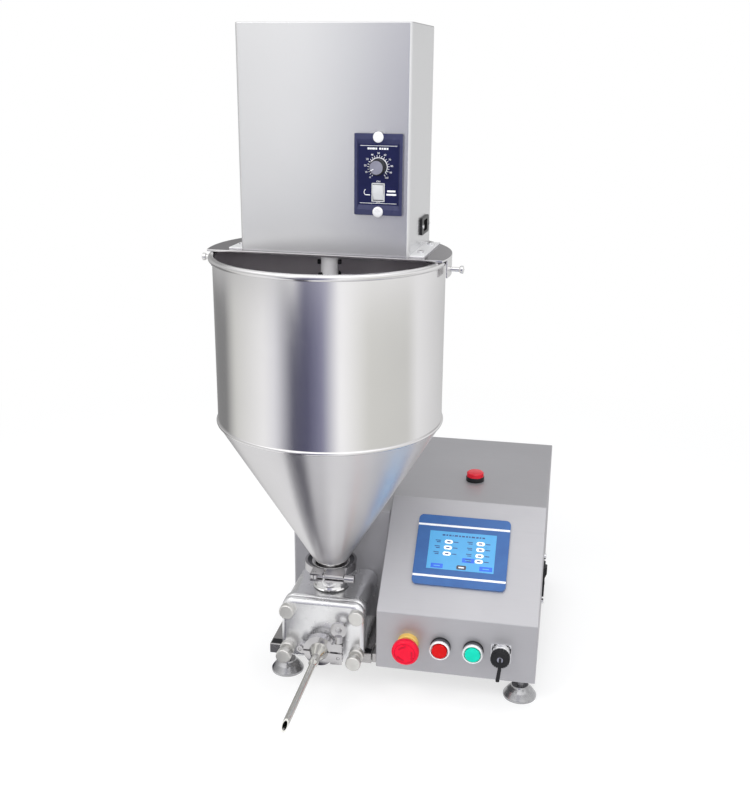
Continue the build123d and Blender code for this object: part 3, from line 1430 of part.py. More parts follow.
def mixer_inlet_body(grow):
    """Body of the power inlet inside the motor box, or its cut-out when grown."""
    half_y = INLET_LENGTH / 2 - 2 * INLET_EAR + grow
    half_z = INLET_WIDTH / 2 - SHEET + grow
    z = BOX_BASE + MIXER_INLET_RISE
    side = BOX_WIDTH / 2
    front, back = MIXER_INLET_Y - half_y, MIXER_INLET_Y + half_y
    return block(side - INLET_BODY, side, front, back, z - half_z, z + half_z)


def mixer_inlet():
    """Flanged power inlet on the motor box's right side."""
    z = BOX_BASE + MIXER_INLET_RISE
    side = BOX_WIDTH / 2
    flange = block(
        side,
        side + INLET_FLANGE,
        MIXER_INLET_Y - INLET_LENGTH / 2,
        MIXER_INLET_Y + INLET_LENGTH / 2,
        z - INLET_WIDTH / 2,
        z + INLET_WIDTH / 2,
    )
    flange = fillet(flange.edges().filter_by(Axis.X), INLET_EAR)
    mouth = Plane(origin=(side + INLET_FLANGE, MIXER_INLET_Y, z), x_dir=(0, 1, 0), z_dir=(1, 0, 0))
    socket = extrude(RectangleRounded(SOCKET_LENGTH, SOCKET_WIDTH, SOCKET_CORNER), -SOCKET_DEPTH)
    return flange + mixer_inlet_body(0) - mouth * socket


def machine_nodes():
    """Every piece by node name, in the layout frame."""
    nodes = {
        "control_cabinet": control_cabinet(),
        "cabinet_back_panel": cabinet_back_panel(),
        "cabinet_floor": cabinet_floor(),
        "pump_tray": pump_tray(),
        "drive_housing": drive_housing(),
        "levelling_feet": levelling_feet(),
        "cabinet_electronics": cabinet_electronics(),
        "touch_panel": touch_panel(),
        "touch_screen": touch_screen(),
        "estop_collar": estop_collar(),
        "estop_stem": estop_stem(),
        "estop_head": estop_head(),
        "button_bodies": group([button_body(STOP_X), button_body(START_X)]),
        "stop_button_cap": button_cap(STOP_X),
        "start_button_cap": button_cap(START_X),
        "pedal_socket": pedal_socket(),
        "socket_dust_cap": socket_dust_cap(),
        "lamp_base": lamp_base(),
        "lamp_lens": lamp_lens(),
        "mains_inlet": mains_inlet(),
        "mains_rocker": mains_rocker(),
        "panel_screws": panel_screws(),
        "pump_body": pump_body(),
        "bearing_housing": bearing_housing(),
        "pump_cover": pump_cover(),
        "cover_studs": cover_studs(),
        "cover_nuts": cover_nuts(),
        "drive_rotor": drive_rotor(),
        "driven_rotor": driven_rotor(),
        "shaft_bearings": shaft_bearings(),
        "rubber_seals": group([cover_seal(), shaft_seals(), clamp_gaskets()]),
        "drive_lantern": drive_lantern(),
        "servo_gear_motor": group([planetary_reducer(), servo_motor()]),
        "hopper": hopper(),
        "hopper_cone": hopper_cone(),
        "clamp_ferrules": clamp_ferrules(),
        "clamp_pins": clamp_pins(),
        "hopper_clamp_left": hopper_clamp_half(-1),
        "hopper_clamp_right": hopper_clamp_half(1),
        "hopper_clamp_bolt": hopper_clamp_bolt(),
        "hopper_clamp_nut": hopper_clamp_nut(),
        "outlet_clamp_lower": outlet_clamp_half(-1),
        "outlet_clamp_upper": outlet_clamp_half(1),
        "outlet_clamp_bolt": outlet_clamp_bolt(),
        "outlet_wing_nut": outlet_wing_nut(),
        "filling_nozzle": filling_nozzle(),
    }
    on_lid = {
        "half_lid": half_lid(),
        "thumb_screw_left": thumb_screw(-1),
        "thumb_screw_right": thumb_screw(1),
        "motor_box": motor_box(),
        "box_brackets": box_brackets(),
        "bracket_screws": bracket_screws(),
        "mixer_gear_motor": mixer_gear_motor(),
        "mixer_output_shaft": mixer_output_shaft(),
        "stirrer_coupling": stirrer_coupling(),
        "stirrer": stirrer(),
        "speed_controller": speed_controller(),
        "speed_knob": speed_knob(),
        "mixer_rocker": mixer_rocker(),
        "mixer_inlet": mixer_inlet(),
    }
    nodes.update({name: LID_PLACE * piece for name, piece in on_lid.items()})
    return nodes


def footprint_middle(nodes):
    """Middle of the machine's footprint on the table, in the layout frame."""
    boxes = [piece.bounding_box() for piece in nodes.values()]
    x = (min(b.min.X for b in boxes) + max(b.max.X for b in boxes)) / 2
    y = (min(b.min.Y for b in boxes) + max(b.max.Y for b in boxes)) / 2
    return Vector(x, y, FOOT_FLOOR)


NODES = machine_nodes()
ORIGIN = footprint_middle(NODES)
os.makedirs("parts", exist_ok=True)
for name, piece in NODES.items():
    export_step(Pos(-ORIGIN.X, -ORIGIN.Y, -ORIGIN.Z) * piece, os.path.join("parts", name + ".step"))
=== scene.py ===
from math import atan2, cos, hypot, pi, radians, sin, tan

import bmesh
import bpy
from mathutils import Matrix, Vector


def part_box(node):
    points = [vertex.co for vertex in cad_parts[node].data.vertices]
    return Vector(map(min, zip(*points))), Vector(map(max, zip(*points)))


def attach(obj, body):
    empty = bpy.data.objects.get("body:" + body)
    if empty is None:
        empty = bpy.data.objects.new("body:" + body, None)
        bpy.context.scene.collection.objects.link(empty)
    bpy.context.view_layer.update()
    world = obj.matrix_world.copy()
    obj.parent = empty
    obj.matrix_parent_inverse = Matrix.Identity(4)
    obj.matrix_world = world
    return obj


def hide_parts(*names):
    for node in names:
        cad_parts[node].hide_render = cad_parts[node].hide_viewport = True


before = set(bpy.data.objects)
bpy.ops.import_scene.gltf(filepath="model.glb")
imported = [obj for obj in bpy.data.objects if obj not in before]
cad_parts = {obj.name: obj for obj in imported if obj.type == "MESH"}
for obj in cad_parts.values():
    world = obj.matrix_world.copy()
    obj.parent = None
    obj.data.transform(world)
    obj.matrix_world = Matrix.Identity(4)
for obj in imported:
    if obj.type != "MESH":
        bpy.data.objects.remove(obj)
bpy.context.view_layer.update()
scene = bpy.context.scene
MM = 0.001

# Places are in millimetres from the cabinet's left front bottom corner
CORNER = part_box("control_cabinet")[0]
CABINET_WIDTH, FRONT_HEIGHT = 235, 92
SLOPE_RISE, SLOPE_RUN = 128, 134
SLOPE_ANGLE = atan2(SLOPE_RISE, SLOPE_RUN)
HOPPER_AXIS = (-80, 53.5)
LID_TURN = radians(-2.5)

FACING_FRONT = Matrix.Rotation(radians(90), 4, "X")
FACING_RIGHT = Matrix(((0, 0, 1, 0), (1, 0, 0, 0), (0, 1, 0, 0), (0, 0, 0, 1)))
FACING_BACK = Matrix(((-1, 0, 0, 0), (0, 0, 1, 0), (0, 1, 0, 0), (0, 0, 0, 1)))


def at(x, y, z, turn=None):
    """A place in millimetres from the cabinet's corner, with a turn of the piece's own axes."""
    return Matrix.Translation(CORNER + Vector((x, y, z)) * MM) @ (turn or Matrix())


def on_lid(x, y, z, turn=None):
    """A place on the half lid, whose axes are turned with it about the hopper's axis."""
    return at(*HOPPER_AXIS, 0, Matrix.Rotation(LID_TURN, 4, "Z")) @ Matrix.Translation(
        Vector((x, y, z)) * MM) @ (turn or Matrix())


def span(node):
    """Low and high corners of a solid, in millimetres from the cabinet's corner."""
    low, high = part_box(node)
    return (low - CORNER) / MM, (high - CORNER) / MM


# Outlines and solids, in millimetres until they are placed


def rounded(corners, closed=True, steps=5):
    """Points of an outline or profile whose corners (x, y, radius) are rounded."""
    points = []
    count = len(corners)
    for i, corner in enumerate(corners):
        x, y = corner[:2]
        radius = corner[2] if len(corner) > 2 else 0
        if radius <= 0 or (not closed and i in (0, count - 1)):
            points.append((x, y))
            continue
        ax, ay = corners[i - 1][0] - x, corners[i - 1][1] - y
        bx, by = corners[(i + 1) % count][0] - x, corners[(i + 1) % count][1] - y
        la, lb = hypot(ax, ay), hypot(bx, by)
        ax, ay, bx, by = ax / la, ay / la, bx / lb, by / lb
        half = Vector((ax, ay)).angle(Vector((bx, by))) / 2
        far = radius / sin(half)
        mx, my = ax + bx, ay + by
        lm = hypot(mx, my)
        cx, cy = x + mx / lm * far, y + my / lm * far
        reach = radius / tan(half)
        start = atan2(y + ay * reach - cy, x + ax * reach - cx)
        sweep = atan2(y + by * reach - cy, x + bx * reach - cx) - start
        sweep = (sweep + pi) % (2 * pi) - pi
        for k in range(steps + 1):
            angle = start + sweep * k / steps
            points.append((cx + radius * cos(angle), cy + radius * sin(angle)))
    return points


def oblong(width, height, radius=0, x=0, y=0):
    """Corners of a rectangle about a centre."""
    w, h = width / 2, height / 2
    return [(x - w, y - h, radius), (x + w, y - h, radius), (x + w, y + h, radius), (x - w, y + h, radius)]


def rect(width, height, x=0, y=0):
    """Points of a plain rectangle about a centre."""
    return [corner[:2] for corner in oblong(width, height, 0, x, y)]


def turned(profile, rings=72, closed=False):
    """A piece turned on a lathe about its own z axis from (radius, height) points."""
    bm = bmesh.new()
    ways = [(cos(2 * pi * k / rings), sin(2 * pi * k / rings)) for k in range(rings)]
    rows = []
    for radius, height in profile:
        if radius < 1e-6:
            rows.append([bm.verts.new((0, 0, height * MM))])
        else:
            rows.append([bm.verts.new((radius * x * MM, radius * y * MM, height * MM)) for x, y in ways])
    pairs = list(zip(rows, rows[1:]))
    if closed:
        pairs.append((rows[-1], rows[0]))
    for low, high in pairs:
        for k in range(rings):
            n = k + 1
            ring = []
            for vert in (low[k % len(low)], low[n % len(low)], high[n % len(high)], high[k % len(high)]):
                if vert not in ring:
                    ring.append(vert)
            if len(ring) > 2:
                bm.faces.new(ring)
    bmesh.ops.recalc_face_normals(bm, faces=bm.faces)
    return bm


def prism(outline, low, high):
    """A flat outline drawn out along its own z axis."""
    bm = bmesh.new()
    bottom = [bm.verts.new((x * MM, y * MM, low * MM)) for x, y in outline]
    top = [bm.verts.new((x * MM, y * MM, high * MM)) for x, y in outline]
    bm.faces.new(reversed(bottom))
    bm.faces.new(top)
    for k in range(len(outline)):
        n = (k + 1) % len(outline)
        bm.faces.new((bottom[k], bottom[n], top[n], top[k]))
    bmesh.ops.recalc_face_normals(bm, faces=bm.faces)
    return bm


SHARP_EDGE = radians(40)


def round_edges(bm, radius, test, steps=4):
    """Round the sharp edges whose two ends pass a test, given in millimetres."""
    edges = [e for e in bm.edges
             if all(test(*(v.co / MM)) for v in e.verts) and e.calc_face_angle(0) > SHARP_EDGE]
    bmesh.ops.bevel(bm, geom=edges, offset=radius * MM, offset_type="OFFSET", segments=steps, profile=0.5,
                    affect="EDGES", clamp_overlap=True)
    return bm


def add(bm, other, place=None, paint=0):
    """Join another solid into this one, with its own place and paint number."""
    if place is not None:
        other.transform(place)
    for face in other.faces:
        face.material_index = paint
    spare = bpy.data.meshes.new("spare")
    other.to_mesh(spare)
    other.free()
    bm.from_mesh(spare)
    bpy.data.meshes.remove(spare)
    return bm


def settle(obj):
    """Turn an object's modifiers into a plain mesh."""
    seen = obj.evaluated_get(bpy.context.evaluated_depsgraph_get())
    mesh = bpy.data.meshes.new_from_object(seen)
    obj.modifiers.clear()
    old = obj.data
    obj.data = mesh
    bpy.data.meshes.remove(old)
    mesh.name = obj.name


def piece(name, bm, paint, body, stands_for=(), place=None, edge=0, steps=3, wall=0, holes=None,
          sharp=35):
    """A finished piece of the machine, with its edges, wall, holes, smooth shading and body."""
    if place is not None:
        bm.transform(place)
    mesh = bpy.data.meshes.new(name)
    bm.to_mesh(mesh)
    bm.free()
    obj = bpy.data.objects.new(name, mesh)
    scene.collection.objects.link(obj)
    for surface in paint if isinstance(paint, (list, tuple)) else (paint,):
        mesh.materials.append(surface)
    mesh.shade_smooth()
    if edge:
        bevel = obj.modifiers.new("rounded edges", "BEVEL")
        bevel.limit_method = "ANGLE"
        bevel.angle_limit = radians(sharp)
        bevel.width = edge * MM
        bevel.segments = steps
        bevel.use_clamp_overlap = True
    else:
        mesh.set_sharp_from_angle(angle=radians(sharp))
    if wall:
        sheet = obj.modifiers.new("sheet", "SOLIDIFY")
        sheet.thickness = wall * MM
        sheet.offset = -1
        sheet.use_even_offset = True
    if holes is not None:
        spare = bpy.data.meshes.new("holes")
        holes.to_mesh(spare)
        holes.free()
        punch = bpy.data.objects.new("holes", spare)
        scene.collection.objects.link(punch)
        cut = obj.modifiers.new("holes", "BOOLEAN")
        cut.object = punch
        cut.solver = "EXACT"
        cut.use_self = True
    weighted = obj.modifiers.new("even shading", "WEIGHTED_NORMAL")
    weighted.keep_sharp = True
    settle(obj)
    if holes is not None:
        bpy.data.objects.remove(punch)
    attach(obj, body)
    if stands_for:
        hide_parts(*stands_for)
    return obj


def dressed(node, paint, body, edge=0.4, steps=2, sharp=30, holes=None):
    """A copy of a plain solid with merged faces and rounded edges, standing for it."""
    bm = bmesh.new()
    bm.from_mesh(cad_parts[node].data)
    bmesh.ops.remove_doubles(bm, verts=bm.verts, dist=2e-6)
    bmesh.ops.dissolve_limit(bm, angle_limit=radians(0.5), verts=bm.verts, edges=bm.edges, delimit={"NORMAL"})
    return piece(node + "_finish", bm, paint, body, (node,), edge=edge, steps=steps, sharp=sharp,
                 holes=holes)


# Shared surface effects


def effect(name, inputs, outputs):
    """An empty shader node group with named inputs and outputs."""
    tree = bpy.data.node_groups.new(name, "ShaderNodeTree")
    for label, kind, value in inputs:
        socket = tree.interface.new_socket(label, in_out="INPUT", socket_type=kind)
        socket.default_value = value
    for label in outputs:
        tree.interface.new_socket(label, in_out="OUTPUT", socket_type="NodeSocketFloat")
    return tree, tree.nodes.new("NodeGroupInput"), tree.nodes.new("NodeGroupOutput")


def feed(tree, socket, value):
    """Link a socket to another node, or set it where the value is a plain number."""
    if isinstance(value, (int, float)):
        socket.default_value = value
    else:
        tree.links.new(value, socket)


def combined(tree, operation, first, second):
    """Two values put together by one operation."""
    node = tree.nodes.new("ShaderNodeMath")
    node.operation = operation
    for socket, value in zip(node.inputs, (first, second)):
        feed(tree, socket, value)
    return node.outputs["Value"]


def total(tree, *values):
    """Several values added up."""
    result = values[0]
    for value in values[1:]:
        result = combined(tree, "ADD", result, value)
    return result


def noise(tree, where, scale, detail=2.0, rough=0.5):
    """Noise over a surface, from nought to one."""
    node = tree.nodes.new("ShaderNodeTexNoise")
    tree.links.new(where, node.inputs["Vector"])
    for label, value in (("Scale", scale), ("Detail", detail), ("Roughness", rough)):
        feed(tree, node.inputs[label], value)
    return node.outputs["Fac"]


def spread(tree, value, low, high, to_low=0.0, to_high=1.0):
    """A value brought from one range to another, and held inside it."""
    node = tree.nodes.new("ShaderNodeMapRange")
    tree.links.new(value, node.inputs["Value"])
    for label, number in (("From Min", low), ("From Max", high), ("To Min", to_low), ("To Max", to_high)):
        node.inputs[label].default_value = number
    return node.outputs["Result"]


def stretched(tree, where, by):
    """Coordinates drawn out by a factor along each axis."""
    node = tree.nodes.new("ShaderNodeVectorMath")
    node.operation = "MULTIPLY"
    tree.links.new(where, node.inputs[0])
    tree.links.new(by, node.inputs[1])
    return node.outputs["Vector"]


WHERE_INPUT = ("Where", "NodeSocketVector", (0, 0, 0))


def brushed_grain():
    """Fine streaks along one direction, and a few longer scratches."""
    inputs = WHERE_INPUT, ("Stretch", "NodeSocketVector", (30, 900, 900))
    tree, start, end = effect("brushed grain", inputs, ("Streak", "Scratch"))
    line = stretched(tree, start.outputs["Where"], start.outputs["Stretch"])
    streak = noise(tree, line, 1.0, 3.0, 0.6)
    scratch = noise(tree, line, 0.21, 1.0, 0.4)
    tree.links.new(spread(tree, streak, 0.25, 0.75), end.inputs["Streak"])
    tree.links.new(spread(tree, scratch, 0.70, 0.80), end.inputs["Scratch"])
    return tree


def hand_polish():
    """Soft clouds left by polishing and wiping, a few finger smudges and a slow ripple."""
    inputs = WHERE_INPUT, ("Size", "NodeSocketFloat", 9.0)
    tree, start, end = effect("hand polish", inputs, ("Cloud", "Smudge", "Ripple"))
    where = start.outputs["Where"]
    cloud = noise(tree, where, start.outputs["Size"], 3.0, 0.55)
    smudge = noise(tree, where, 31.0, 4.0, 0.65)
    tree.links.new(spread(tree, cloud, 0.3, 0.7), end.inputs["Cloud"])
    tree.links.new(spread(tree, smudge, 0.56, 0.72), end.inputs["Smudge"])
    tree.links.new(noise(tree, where, 46.0, 1.0, 0.4), end.inputs["Ripple"])
    return tree


def moulded_skin():
    """The fine grain of moulded plastic and slow changes of tone."""
    inputs = WHERE_INPUT, ("Size", "NodeSocketFloat", 2600.0)
    tree, start, end = effect("moulded skin", inputs, ("Grain", "Mottle"))
    where = start.outputs["Where"]
    mottle = noise(tree, where, 55.0, 3.0, 0.6)
    tree.links.new(noise(tree, where, start.outputs["Size"], 2.0, 0.6), end.inputs["Grain"])
    tree.links.new(spread(tree, mottle, 0.3, 0.7), end.inputs["Mottle"])
    return tree


BRUSHED_GRAIN = brushed_grain()
HAND_POLISH = hand_polish()
MOULDED_SKIN = moulded_skin()


def surface(name):
    """A new material with its shader and the object's own coordinates."""
    made = bpy.data.materials.new(name)
    made.use_nodes = True
    tree = made.node_tree
    where = tree.nodes.new("ShaderNodeTexCoord").outputs["Object"]
    return made, tree, tree.nodes["Principled BSDF"], where


def with_effect(tree, group, where, **values):
    """One of the shared effects in a material, with its own values."""
    node = tree.nodes.new("ShaderNodeGroup")
    node.node_tree = group
    tree.links.new(where, node.inputs["Where"])
    for label, value in values.items():
        node.inputs[label].default_value = value
    return node.outputs


def between(tree, mask, low, high):
    """A colour between two tones, by a mask."""
    node = tree.nodes.new("ShaderNodeMix")
    node.data_type = "RGBA"
    tree.links.new(mask, node.inputs["Factor"])
    node.inputs["A"].default_value = (*low, 1)
    node.inputs["B"].default_value = (*high, 1)
    return node.outputs["Result"]


def bumped(tree, height, strength, distance, under=None):
    """A surface raised and lowered by a height, over another such surface or none."""
    node = tree.nodes.new("ShaderNodeBump")
    node.inputs["Strength"].default_value = strength
    node.inputs["Distance"].default_value = distance
    tree.links.new(height, node.inputs["Height"])
    if under is not None:
        tree.links.new(under, node.inputs["Normal"])
    return node.outputs["Normal"]


GRAIN_DEPTH, RIPPLE_DEPTH, SKIN_DEPTH = 0.0004, 0.004, 0.0003
BLUR_UPRIGHT = 0.25
SCRATCH_MARKS = 1.6
COAT_ROUGHNESS, HANDLING_MARKS, HANDLING_SIZE = 0.08, 0.08, 40.0


def steel(name, tone, shade, smooth, rough, stretch, grain=0.04, cloud=9.0, ripple=0.0, metal=1.0, across=0.0,
          marks=0.05):
    """Stainless steel: two tones, brushed or polished grain, smudges and a slight unevenness."""
    made, tree, shader, where = surface(name)
    shader.inputs["Metallic"].default_value = metal
    shader.inputs["Anisotropic"].default_value = across
    shader.inputs["Anisotropic Rotation"].default_value = BLUR_UPRIGHT
    streaks = with_effect(tree, BRUSHED_GRAIN, where, Stretch=stretch)
    polish = with_effect(tree, HAND_POLISH, where, Size=cloud)
    tree.links.new(between(tree, polish["Cloud"], shade, tone), shader.inputs["Base Color"])
    roughness = total(tree, spread(tree, streaks["Streak"], 0, 1, smooth, rough),
                      spread(tree, polish["Smudge"], 0, 1, 0, marks),
                      spread(tree, streaks["Scratch"], 0, 1, 0, SCRATCH_MARKS * marks))
    tree.links.new(roughness, shader.inputs["Roughness"])
    normal = bumped(tree, streaks["Streak"], grain, GRAIN_DEPTH)
    if ripple:
        normal = bumped(tree, polish["Ripple"], ripple, RIPPLE_DEPTH, normal)
    tree.links.new(normal, shader.inputs["Normal"])
    return made


def plastic(name, tone, shade, smooth, rough, grain=0.05, coat=0.0, shine=0.5):
    """Moulded plastic or enamel: two close tones, fine grain and handling marks."""
    made, tree, shader, where = surface(name)
    shader.inputs["Coat Weight"].default_value = coat
    shader.inputs["Coat Roughness"].default_value = COAT_ROUGHNESS
    shader.inputs["Specular IOR Level"].default_value = shine
    skin = with_effect(tree, MOULDED_SKIN, where)
    polish = with_effect(tree, HAND_POLISH, where, Size=HANDLING_SIZE)
    tree.links.new(between(tree, skin["Mottle"], shade, tone), shader.inputs["Base Color"])
    roughness = total(tree, spread(tree, skin["Grain"], 0.3, 0.7, smooth, rough),
                      spread(tree, polish["Smudge"], 0, 1, 0, HANDLING_MARKS))
    tree.links.new(roughness, shader.inputs["Roughness"])
    tree.links.new(bumped(tree, skin["Grain"], grain, SKIN_DEPTH), shader.inputs["Normal"])
    return made


def lit(name, tone, shade, glow, smooth=0.12, rough=0.2, coat=0.3, shine=0.5):
    """A surface that gives some light of its own, such as a screen field or a lamp lens."""
    made = plastic(name, tone, shade, smooth, rough, 0.01, coat, shine)
    shader = made.node_tree.nodes["Principled BSDF"]
    colour = shader.inputs["Base Color"].links[0].from_socket
    made.node_tree.links.new(colour, shader.inputs["Emission Color"])
    shader.inputs["Emission Strength"].default_value = glow
    return made


# Ways that a steel's grain runs: the long streaks lie along the axis with the small number
ALONG_X, ALONG_Y, ALONG_Z = (25, 800, 800), (800, 25, 800), (800, 800, 25)
EVEN = (160, 160, 160)

# Finishes, with their two tones first and then the least and most roughness. A steel goes on with the way
# its grain runs, the grain's strength and the size of its clouds, a plastic with its grain, coat and shine.
# A lit surface has its glow before the roughness.
cabinet_steel = steel("cabinet steel", (0.505, 0.50, 0.52), (0.475, 0.47, 0.49), 0.46, 0.54, ALONG_X, 0.015,
                      6, metal=0.75, marks=0.03)
box_steel = steel("motor box steel", (0.75, 0.75, 0.76), (0.735, 0.735, 0.745), 0.25, 0.27, ALONG_X, 0.0005,
                  6, metal=0.9, across=0.8, marks=0.004)
# The cabinet's floor plate: a dark steel, painted shade under the cabinet
underside_steel_painted_shade = steel("underside steel, painted shade", (0.20, 0.20, 0.21), (0.15, 0.15, 0.16), 0.35, 0.5, ALONG_X, 0.02, 6)
tray_steel = steel("tray steel", (0.52, 0.505, 0.50), (0.44, 0.43, 0.43), 0.2, 0.28, ALONG_Y, 0.012, 8,
                   metal=0.8)
hopper_steel = steel("hopper steel", (0.79, 0.78, 0.785), (0.76, 0.75, 0.755), 0.15, 0.19, ALONG_Z, 0.005, 7,
                     across=0.25, marks=0.02)
cone_steel = steel("hopper cone steel", (0.82, 0.81, 0.82), (0.78, 0.77, 0.78), 0.34, 0.38, EVEN, 0.003, 7,
                   across=0.95, marks=0.02)
# The hopper's inside: a darker, duller copy of the hopper's steel, painted shade inside the bowl
inside_steel_painted_shade = steel("hopper inside steel, painted shade", (0.56, 0.53, 0.56), (0.46, 0.43, 0.46), 0.34, 0.46, ALONG_Z, 0.02,
                     7, metal=0.25)
# The lid's top and bottom: a dark copy of the hopper's steel, painted shade
lid_steel_painted_shade = steel("lid steel, painted shade", (0.34, 0.325, 0.345), (0.27, 0.255, 0.275), 0.14, 0.2, ALONG_X, 0.01, 8)
pump_steel = steel("cast pump steel", (0.87, 0.87, 0.88), (0.83, 0.83, 0.84), 0.22, 0.28, EVEN, 0.003, 24,
                   0.012, 0.85)
clamp_steel = steel("polished clamp steel", (0.86, 0.855, 0.85), (0.78, 0.775, 0.77), 0.08, 0.14, EVEN, 0.005,
                    40, 0.03)
# The clamp bands: a darker copy of the polished clamp steel, painted shade
band_steel_painted_shade = steel("clamp band steel, painted shade", (0.62, 0.61, 0.62), (0.50, 0.49, 0.50), 0.1, 0.16, EVEN, 0.005, 40,
                   0.03)
nut_steel = steel("brushed nut steel", (0.66, 0.65, 0.625), (0.56, 0.55, 0.53), 0.26, 0.38, EVEN, 0.03, 60,
                  metal=0.6)
needle_steel = steel("needle steel", (0.74, 0.735, 0.70), (0.64, 0.635, 0.60), 0.14, 0.22, EVEN, 0.01, 60)
bracket_steel = steel("bracket steel", (0.93, 0.93, 0.935), (0.88, 0.88, 0.89), 0.34, 0.44, ALONG_Y, 0.01, 20,
                      metal=0.3)
shaft_steel = steel("shaft steel", (0.74, 0.735, 0.73), (0.66, 0.66, 0.66), 0.12, 0.2, ALONG_X, 0.02, 30)
# The coupling: a near-white steel that is hardly metallic, painted light so it shows bright in the hopper's
# shade
coupling_steel_painted_light = steel("coupling steel, painted light", (0.97, 0.96, 0.97), (0.92, 0.91, 0.92), 0.3, 0.4, ALONG_Z, 0.01, 40,
                       metal=0.1)
foot_steel = steel("foot steel", (0.50, 0.50, 0.51), (0.34, 0.34, 0.35), 0.2, 0.3, EVEN, 0.01, 60)
chrome = steel("button chrome", (0.84, 0.84, 0.85), (0.78, 0.78, 0.80), 0.06, 0.12, EVEN, 0.01, 60)
bezel_chrome = steel("bezel chrome", (0.94, 0.94, 0.95), (0.88, 0.88, 0.90), 0.12, 0.2, EVEN, 0.01, 60,
                     metal=0.5)
# Chrome painted dark as shade: on the feet's lock nuts, the sides of the button bezels and the dish cut in
# the hopper's clamp
chrome_painted_shade = steel("chrome painted dark as shade", (0.22, 0.22, 0.24), (0.14, 0.14, 0.15), 0.1, 0.18, EVEN, 0.01, 60)
screw_silver = steel("bright screw steel", (0.92, 0.92, 0.93), (0.86, 0.86, 0.87), 0.3, 0.42, EVEN, 0.02, 60,
                     metal=0.4)
drive_aluminium = steel("drive aluminium", (0.70, 0.71, 0.72), (0.62, 0.63, 0.64), 0.3, 0.45, EVEN, 0.06, 30)
brass = steel("contact brass", (0.78, 0.58, 0.26), (0.66, 0.46, 0.18), 0.2, 0.32, EVEN, 0.03, 60)
seal_rubber = plastic("seal rubber", (0.60, 0.58, 0.54), (0.50, 0.48, 0.45), 0.5, 0.65, 0.12)
electronics_case = plastic("electronics case", (0.10, 0.10, 0.11), (0.07, 0.07, 0.08), 0.45, 0.6)
touch_blue = plastic("touch panel blue", (0.033, 0.118, 0.335), (0.028, 0.100, 0.300), 0.28, 0.38, 0.06, 0.1)
estop_yellow = plastic("collar yellow", (0.90, 0.62, 0.16), (0.84, 0.54, 0.11), 0.3, 0.4, 0.05, 0.1)
estop_red = plastic("stop head red", (0.84, 0.003, 0.036), (0.76, 0.002, 0.030), 0.14, 0.2, 0.03, 0.0, 0.25)
# Darker red on the head's arrows and groove ring, painted shade of their small relief
estop_painted_shade = plastic("stop head painted shade", (0.56, 0.003, 0.030), (0.50, 0.002, 0.024), 0.3, 0.4, 0.04, 0.0, 0.2)
estop_grey = plastic("stem grey", (0.12, 0.12, 0.12), (0.09, 0.09, 0.09), 0.4, 0.5)
button_red = lit("button red", (0.60, 0.003, 0.005), (0.53, 0.002, 0.003), 0.06, 0.2, 0.3, 0.0, 0.2)
button_green = lit("button green", (0.004, 0.60, 0.43), (0.003, 0.54, 0.38), 0.1, 0.2, 0.3, 0.0, 0.2)
black_plastic = plastic("black plastic", (0.018, 0.018, 0.020), (0.011, 0.011, 0.013), 0.26, 0.38, 0.06, 0.0,
                        0.22)
lamp_red = lit("lamp red", (0.72, 0.008, 0.030), (0.60, 0.006, 0.022), 0.12, 0.08, 0.14)
controller_navy = plastic("controller navy", (0.011, 0.013, 0.060), (0.008, 0.010, 0.048), 0.26, 0.36, 0.04,
                          0.0, 0.15)
# The controller's case: a lighter navy than its face, partly its own tone and partly painted highlight on its
# bevels
rim_navy_painted_highlight = plastic("controller rim, painted highlight", (0.040, 0.043, 0.105), (0.030, 0.033, 0.085), 0.2, 0.3, 0.04, 0.1, 0.3)
rocker_grey = plastic("rocker grey", (0.62, 0.63, 0.64), (0.55, 0.56, 0.57), 0.25, 0.35, 0.04, 0.1)
print_white = plastic("printed white", (0.90, 0.91, 0.93), (0.85, 0.86, 0.88), 0.4, 0.5, 0.02)
knob_black = plastic("knob black", (0.024, 0.025, 0.03), (0.016, 0.017, 0.021), 0.3, 0.44, 0.08, 0.0, 0.3)
knob_grey = plastic("knob cap grey", (0.23, 0.23, 0.29), (0.17, 0.17, 0.22), 0.3, 0.4, 0.05)
screen_blue = lit("screen sky blue", (0.075, 0.31, 0.58), (0.068, 0.29, 0.55), 0.28, 0.2, 0.28, 0.1)
screen_white = lit("screen field white", (0.86, 0.90, 0.94), (0.80, 0.85, 0.90), 0.35)
screen_button = lit("screen button blue", (0.02, 0.12, 0.62), (0.018, 0.10, 0.55), 0.3)
screen_dark = lit("screen dark field", (0.05, 0.05, 0.07), (0.04, 0.04, 0.055), 0.2)
screen_ink = lit("screen label", (0.03, 0.06, 0.20), (0.025, 0.05, 0.16), 0.15)


# Camera at the photograph's angle

CAMERA_PLACE = (0.261235, -1.42475, 0.88599)
CAMERA_YAW, CAMERA_PITCH, CAMERA_ROLL = radians(10.757), radians(17.721), radians(0.484)
FOCAL_PIXELS, PHOTO_WIDTH = 1037.65, 750
SENSOR_WIDTH = 36


